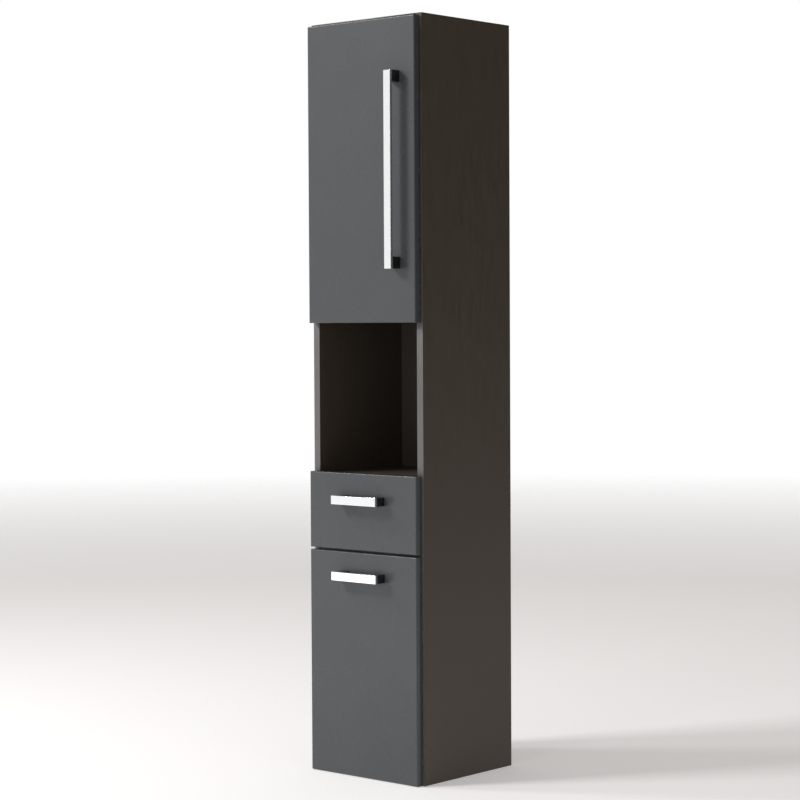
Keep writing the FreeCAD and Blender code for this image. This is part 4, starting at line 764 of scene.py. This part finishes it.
def islands(node):
    """Points of each loose solid in a node of the model."""
    mesh = frame["nodes"][node].data
    points = np.empty(len(mesh.vertices) * 3)
    mesh.vertices.foreach_get("co", points)
    points = points.reshape(-1, 3)
    corners = np.empty(len(mesh.loops), dtype=int)
    mesh.loops.foreach_get("vertex_index", corners)
    _, same = np.unique(np.round(points / SAME_PLACE).astype(int), axis=0, return_inverse=True)
    same = same.ravel()
    triangles = same[corners].reshape(-1, 3)
    label = np.arange(same.max() + 1)
    while True:
        spread = label.copy()
        lowest = label[triangles].min(axis=1, keepdims=True)
        np.minimum.at(spread, triangles, np.broadcast_to(lowest, triangles.shape))
        if np.array_equal(spread, label):
            break
        label = spread
    owner = label[same]
    return [points[owner == number] for number in np.unique(owner)]


BODY_OF = {node: body for body, nodes in frame["record"]["behaviour"]["bodies"].items() for node in nodes}
print("loose cam locks:", len(islands("cam_locks")))

# %% One screw
SCREW_COLUMNS = 40
# The rings of the head, as shares of its radius. The last two lie on the seat.
HEAD_RINGS = (0.02, 0.12, 0.2, 0.28, 0.36, 0.45, 0.54, 0.6, 0.68, 0.85, 0.97, 1.0, 1.0, 0.98)
BROAD_SHARE = 0.97
SHANK_MARGIN = 0.1
CROWN_FALL = 0.35
CROSS_REACH = 0.62
CROSS_WIDTH = 0.13
CROSS_SOFT = 0.07
CROSS_DEPTH = 0.8
TIP_TAPER = 0.3


def screw_measures(points):
    """Line, direction, head and shank of a solid screw. The head is where the points stand furthest
    from the screw's own line."""
    low, high = points.min(axis=0), points.max(axis=0)
    axis = int(np.argmax(high - low))
    centre = (low + high) / 2
    across = [other for other in range(3) if other != axis]
    radius = np.hypot(*(points[:, across] - centre[across]).T)
    broad = points[radius > BROAD_SHARE * radius.max(), axis]
    towards = 1.0 if broad.mean() > centre[axis] else -1.0
    seat = broad.min() if towards > 0 else broad.max()
    top = high[axis] if towards > 0 else low[axis]
    tip = low[axis] if towards > 0 else high[axis]
    shank = radius[np.abs(points[:, axis] - tip) < SAME_PLACE].max()
    return axis, towards, centre, seat, abs(top - seat), abs(seat - tip), radius.max(), shank


def turned_screw(points):
    """Rows from the middle of the head to the tip. On the head the height is
    h (1 - f (r / R)^2), less the cross: a depth times how far inside one of the two bars the point is."""
    axis, towards, centre, seat, rise, length, head, shank = screw_measures(points)
    radii = head * np.array(HEAD_RINGS)
    heights = rise * (1 - CROWN_FALL * (radii / head) ** 2)
    heights[-2:] = (0.0, 0.0)
    radii = np.concatenate([radii, [shank, shank, shank, shank * TIP_TAPER]])
    heights = np.concatenate([heights, [0.0, -SHANK_MARGIN * length, TIP_TAPER * length - length, -length]])
    angle = np.linspace(0, 2 * np.pi, SCREW_COLUMNS, endpoint=False)
    along_u = radii[:, None] * np.cos(angle)
    along_v = radii[:, None] * np.sin(angle)
    narrow = np.minimum(np.abs(along_u), np.abs(along_v)) / head
    far = np.maximum(np.abs(along_u), np.abs(along_v)) / head
    in_width = np.clip((CROSS_WIDTH - narrow) / CROSS_SOFT, 0, 1)
    in_reach = np.clip((CROSS_REACH - far) / CROSS_SOFT, 0, 1)
    inside = in_width * in_reach
    on_head = (np.arange(len(radii)) < len(HEAD_RINGS))[:, None]
    height = heights[:, None] - on_head * inside * CROSS_DEPTH * rise
    placed = np.empty((*along_u.shape, 3))
    others = [other for other in range(3) if other != axis]
    placed[..., others[0]] = centre[others[0]] + along_u
    placed[..., others[1]] = centre[others[1]] + along_v
    placed[..., axis] = seat + towards * height
    return placed


SCREW_NODES = (
    "hinge_plate_screws",
    "hinge_arm_screws",
    "upper_cup_screws",
    "lower_cup_screws",
    "upper_handle_screws",
    "lower_handle_screws",
    "drawer_handle_screws",
    "drawer_front_screws",
    "slide_rail_screws",
    "slide_runner_screws",
    "hanger_screws",
)
for node in SCREW_NODES:
    screws = [turned_screw(points) for points in islands(node)]
    made = piece(f"{node}_turned", screws, plated, BODY_OF[node])
    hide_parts(node)
    print(made.name, len(screws), "screws,", len(made.data.polygons), "faces")

# %% [markdown]
# ## Floor
#
# The floor is one large, pale, matt disc, lit a little from within, as a white table over a lamp is, so
# that it stays pale where the softboxes don't reach. Far away it turns see-through, so that it meets
# the pale background without a line. It isn't part of the cabinet.

# %% Floor
FLOOR_RADIUS = 14.0
FLOOR_FADE = (3.5, 9.0)
FLOOR_PALE = (0.90, 0.91, 0.925)
FLOOR_SHADE = 0.97
FLOOR_PALE_DEEP = tuple(FLOOR_SHADE * part for part in FLOOR_PALE)
FLOOR_CLOUDS = 0.8
FLOOR_GLOW = 0.28
FLOOR_SIDES = 96

floor_finish = Finish("studio_floor", roughness=0.85)
floor_clouds = floor_finish.noise(FLOOR_CLOUDS)
floor_finish.colour(floor_finish.blend(floor_clouds, FLOOR_PALE, FLOOR_PALE_DEEP))
floor_finish.set("Emission Color", (1.0, 1.0, 1.0, 1.0))
floor_finish.set("Emission Strength", FLOOR_GLOW)
distance = floor_finish.tree.nodes.new("ShaderNodeVectorMath")
distance.operation = "LENGTH"
floor_finish.link(floor_finish.place, distance.inputs[0])
fade = floor_finish.spread(distance.outputs["Value"], 0, 1, *FLOOR_FADE)
clear = floor_finish.tree.nodes.new("ShaderNodeBsdfTransparent")
either = floor_finish.tree.nodes.new("ShaderNodeMixShader")
floor_finish.link(fade, either.inputs[0])
floor_finish.link(floor_finish.shader.outputs[0], either.inputs[1])
floor_finish.link(clear.outputs[0], either.inputs[2])
floor_finish.link(either.outputs[0], floor_finish.tree.nodes["Material Output"].inputs["Surface"])

around = np.linspace(0, 2 * np.pi, FLOOR_SIDES, endpoint=False)
rim = np.stack([np.cos(around), np.sin(around), np.zeros_like(around)], axis=1) * FLOOR_RADIUS
disc = bpy.data.meshes.new("studio_floor")
disc.from_pydata(rim.tolist(), [], [list(range(len(rim)))])
disc.materials.append(floor_finish.material)
floor = bpy.data.objects.new("studio_floor", disc)
scene.collection.objects.link(floor)
print("floor radius:", FLOOR_RADIUS)
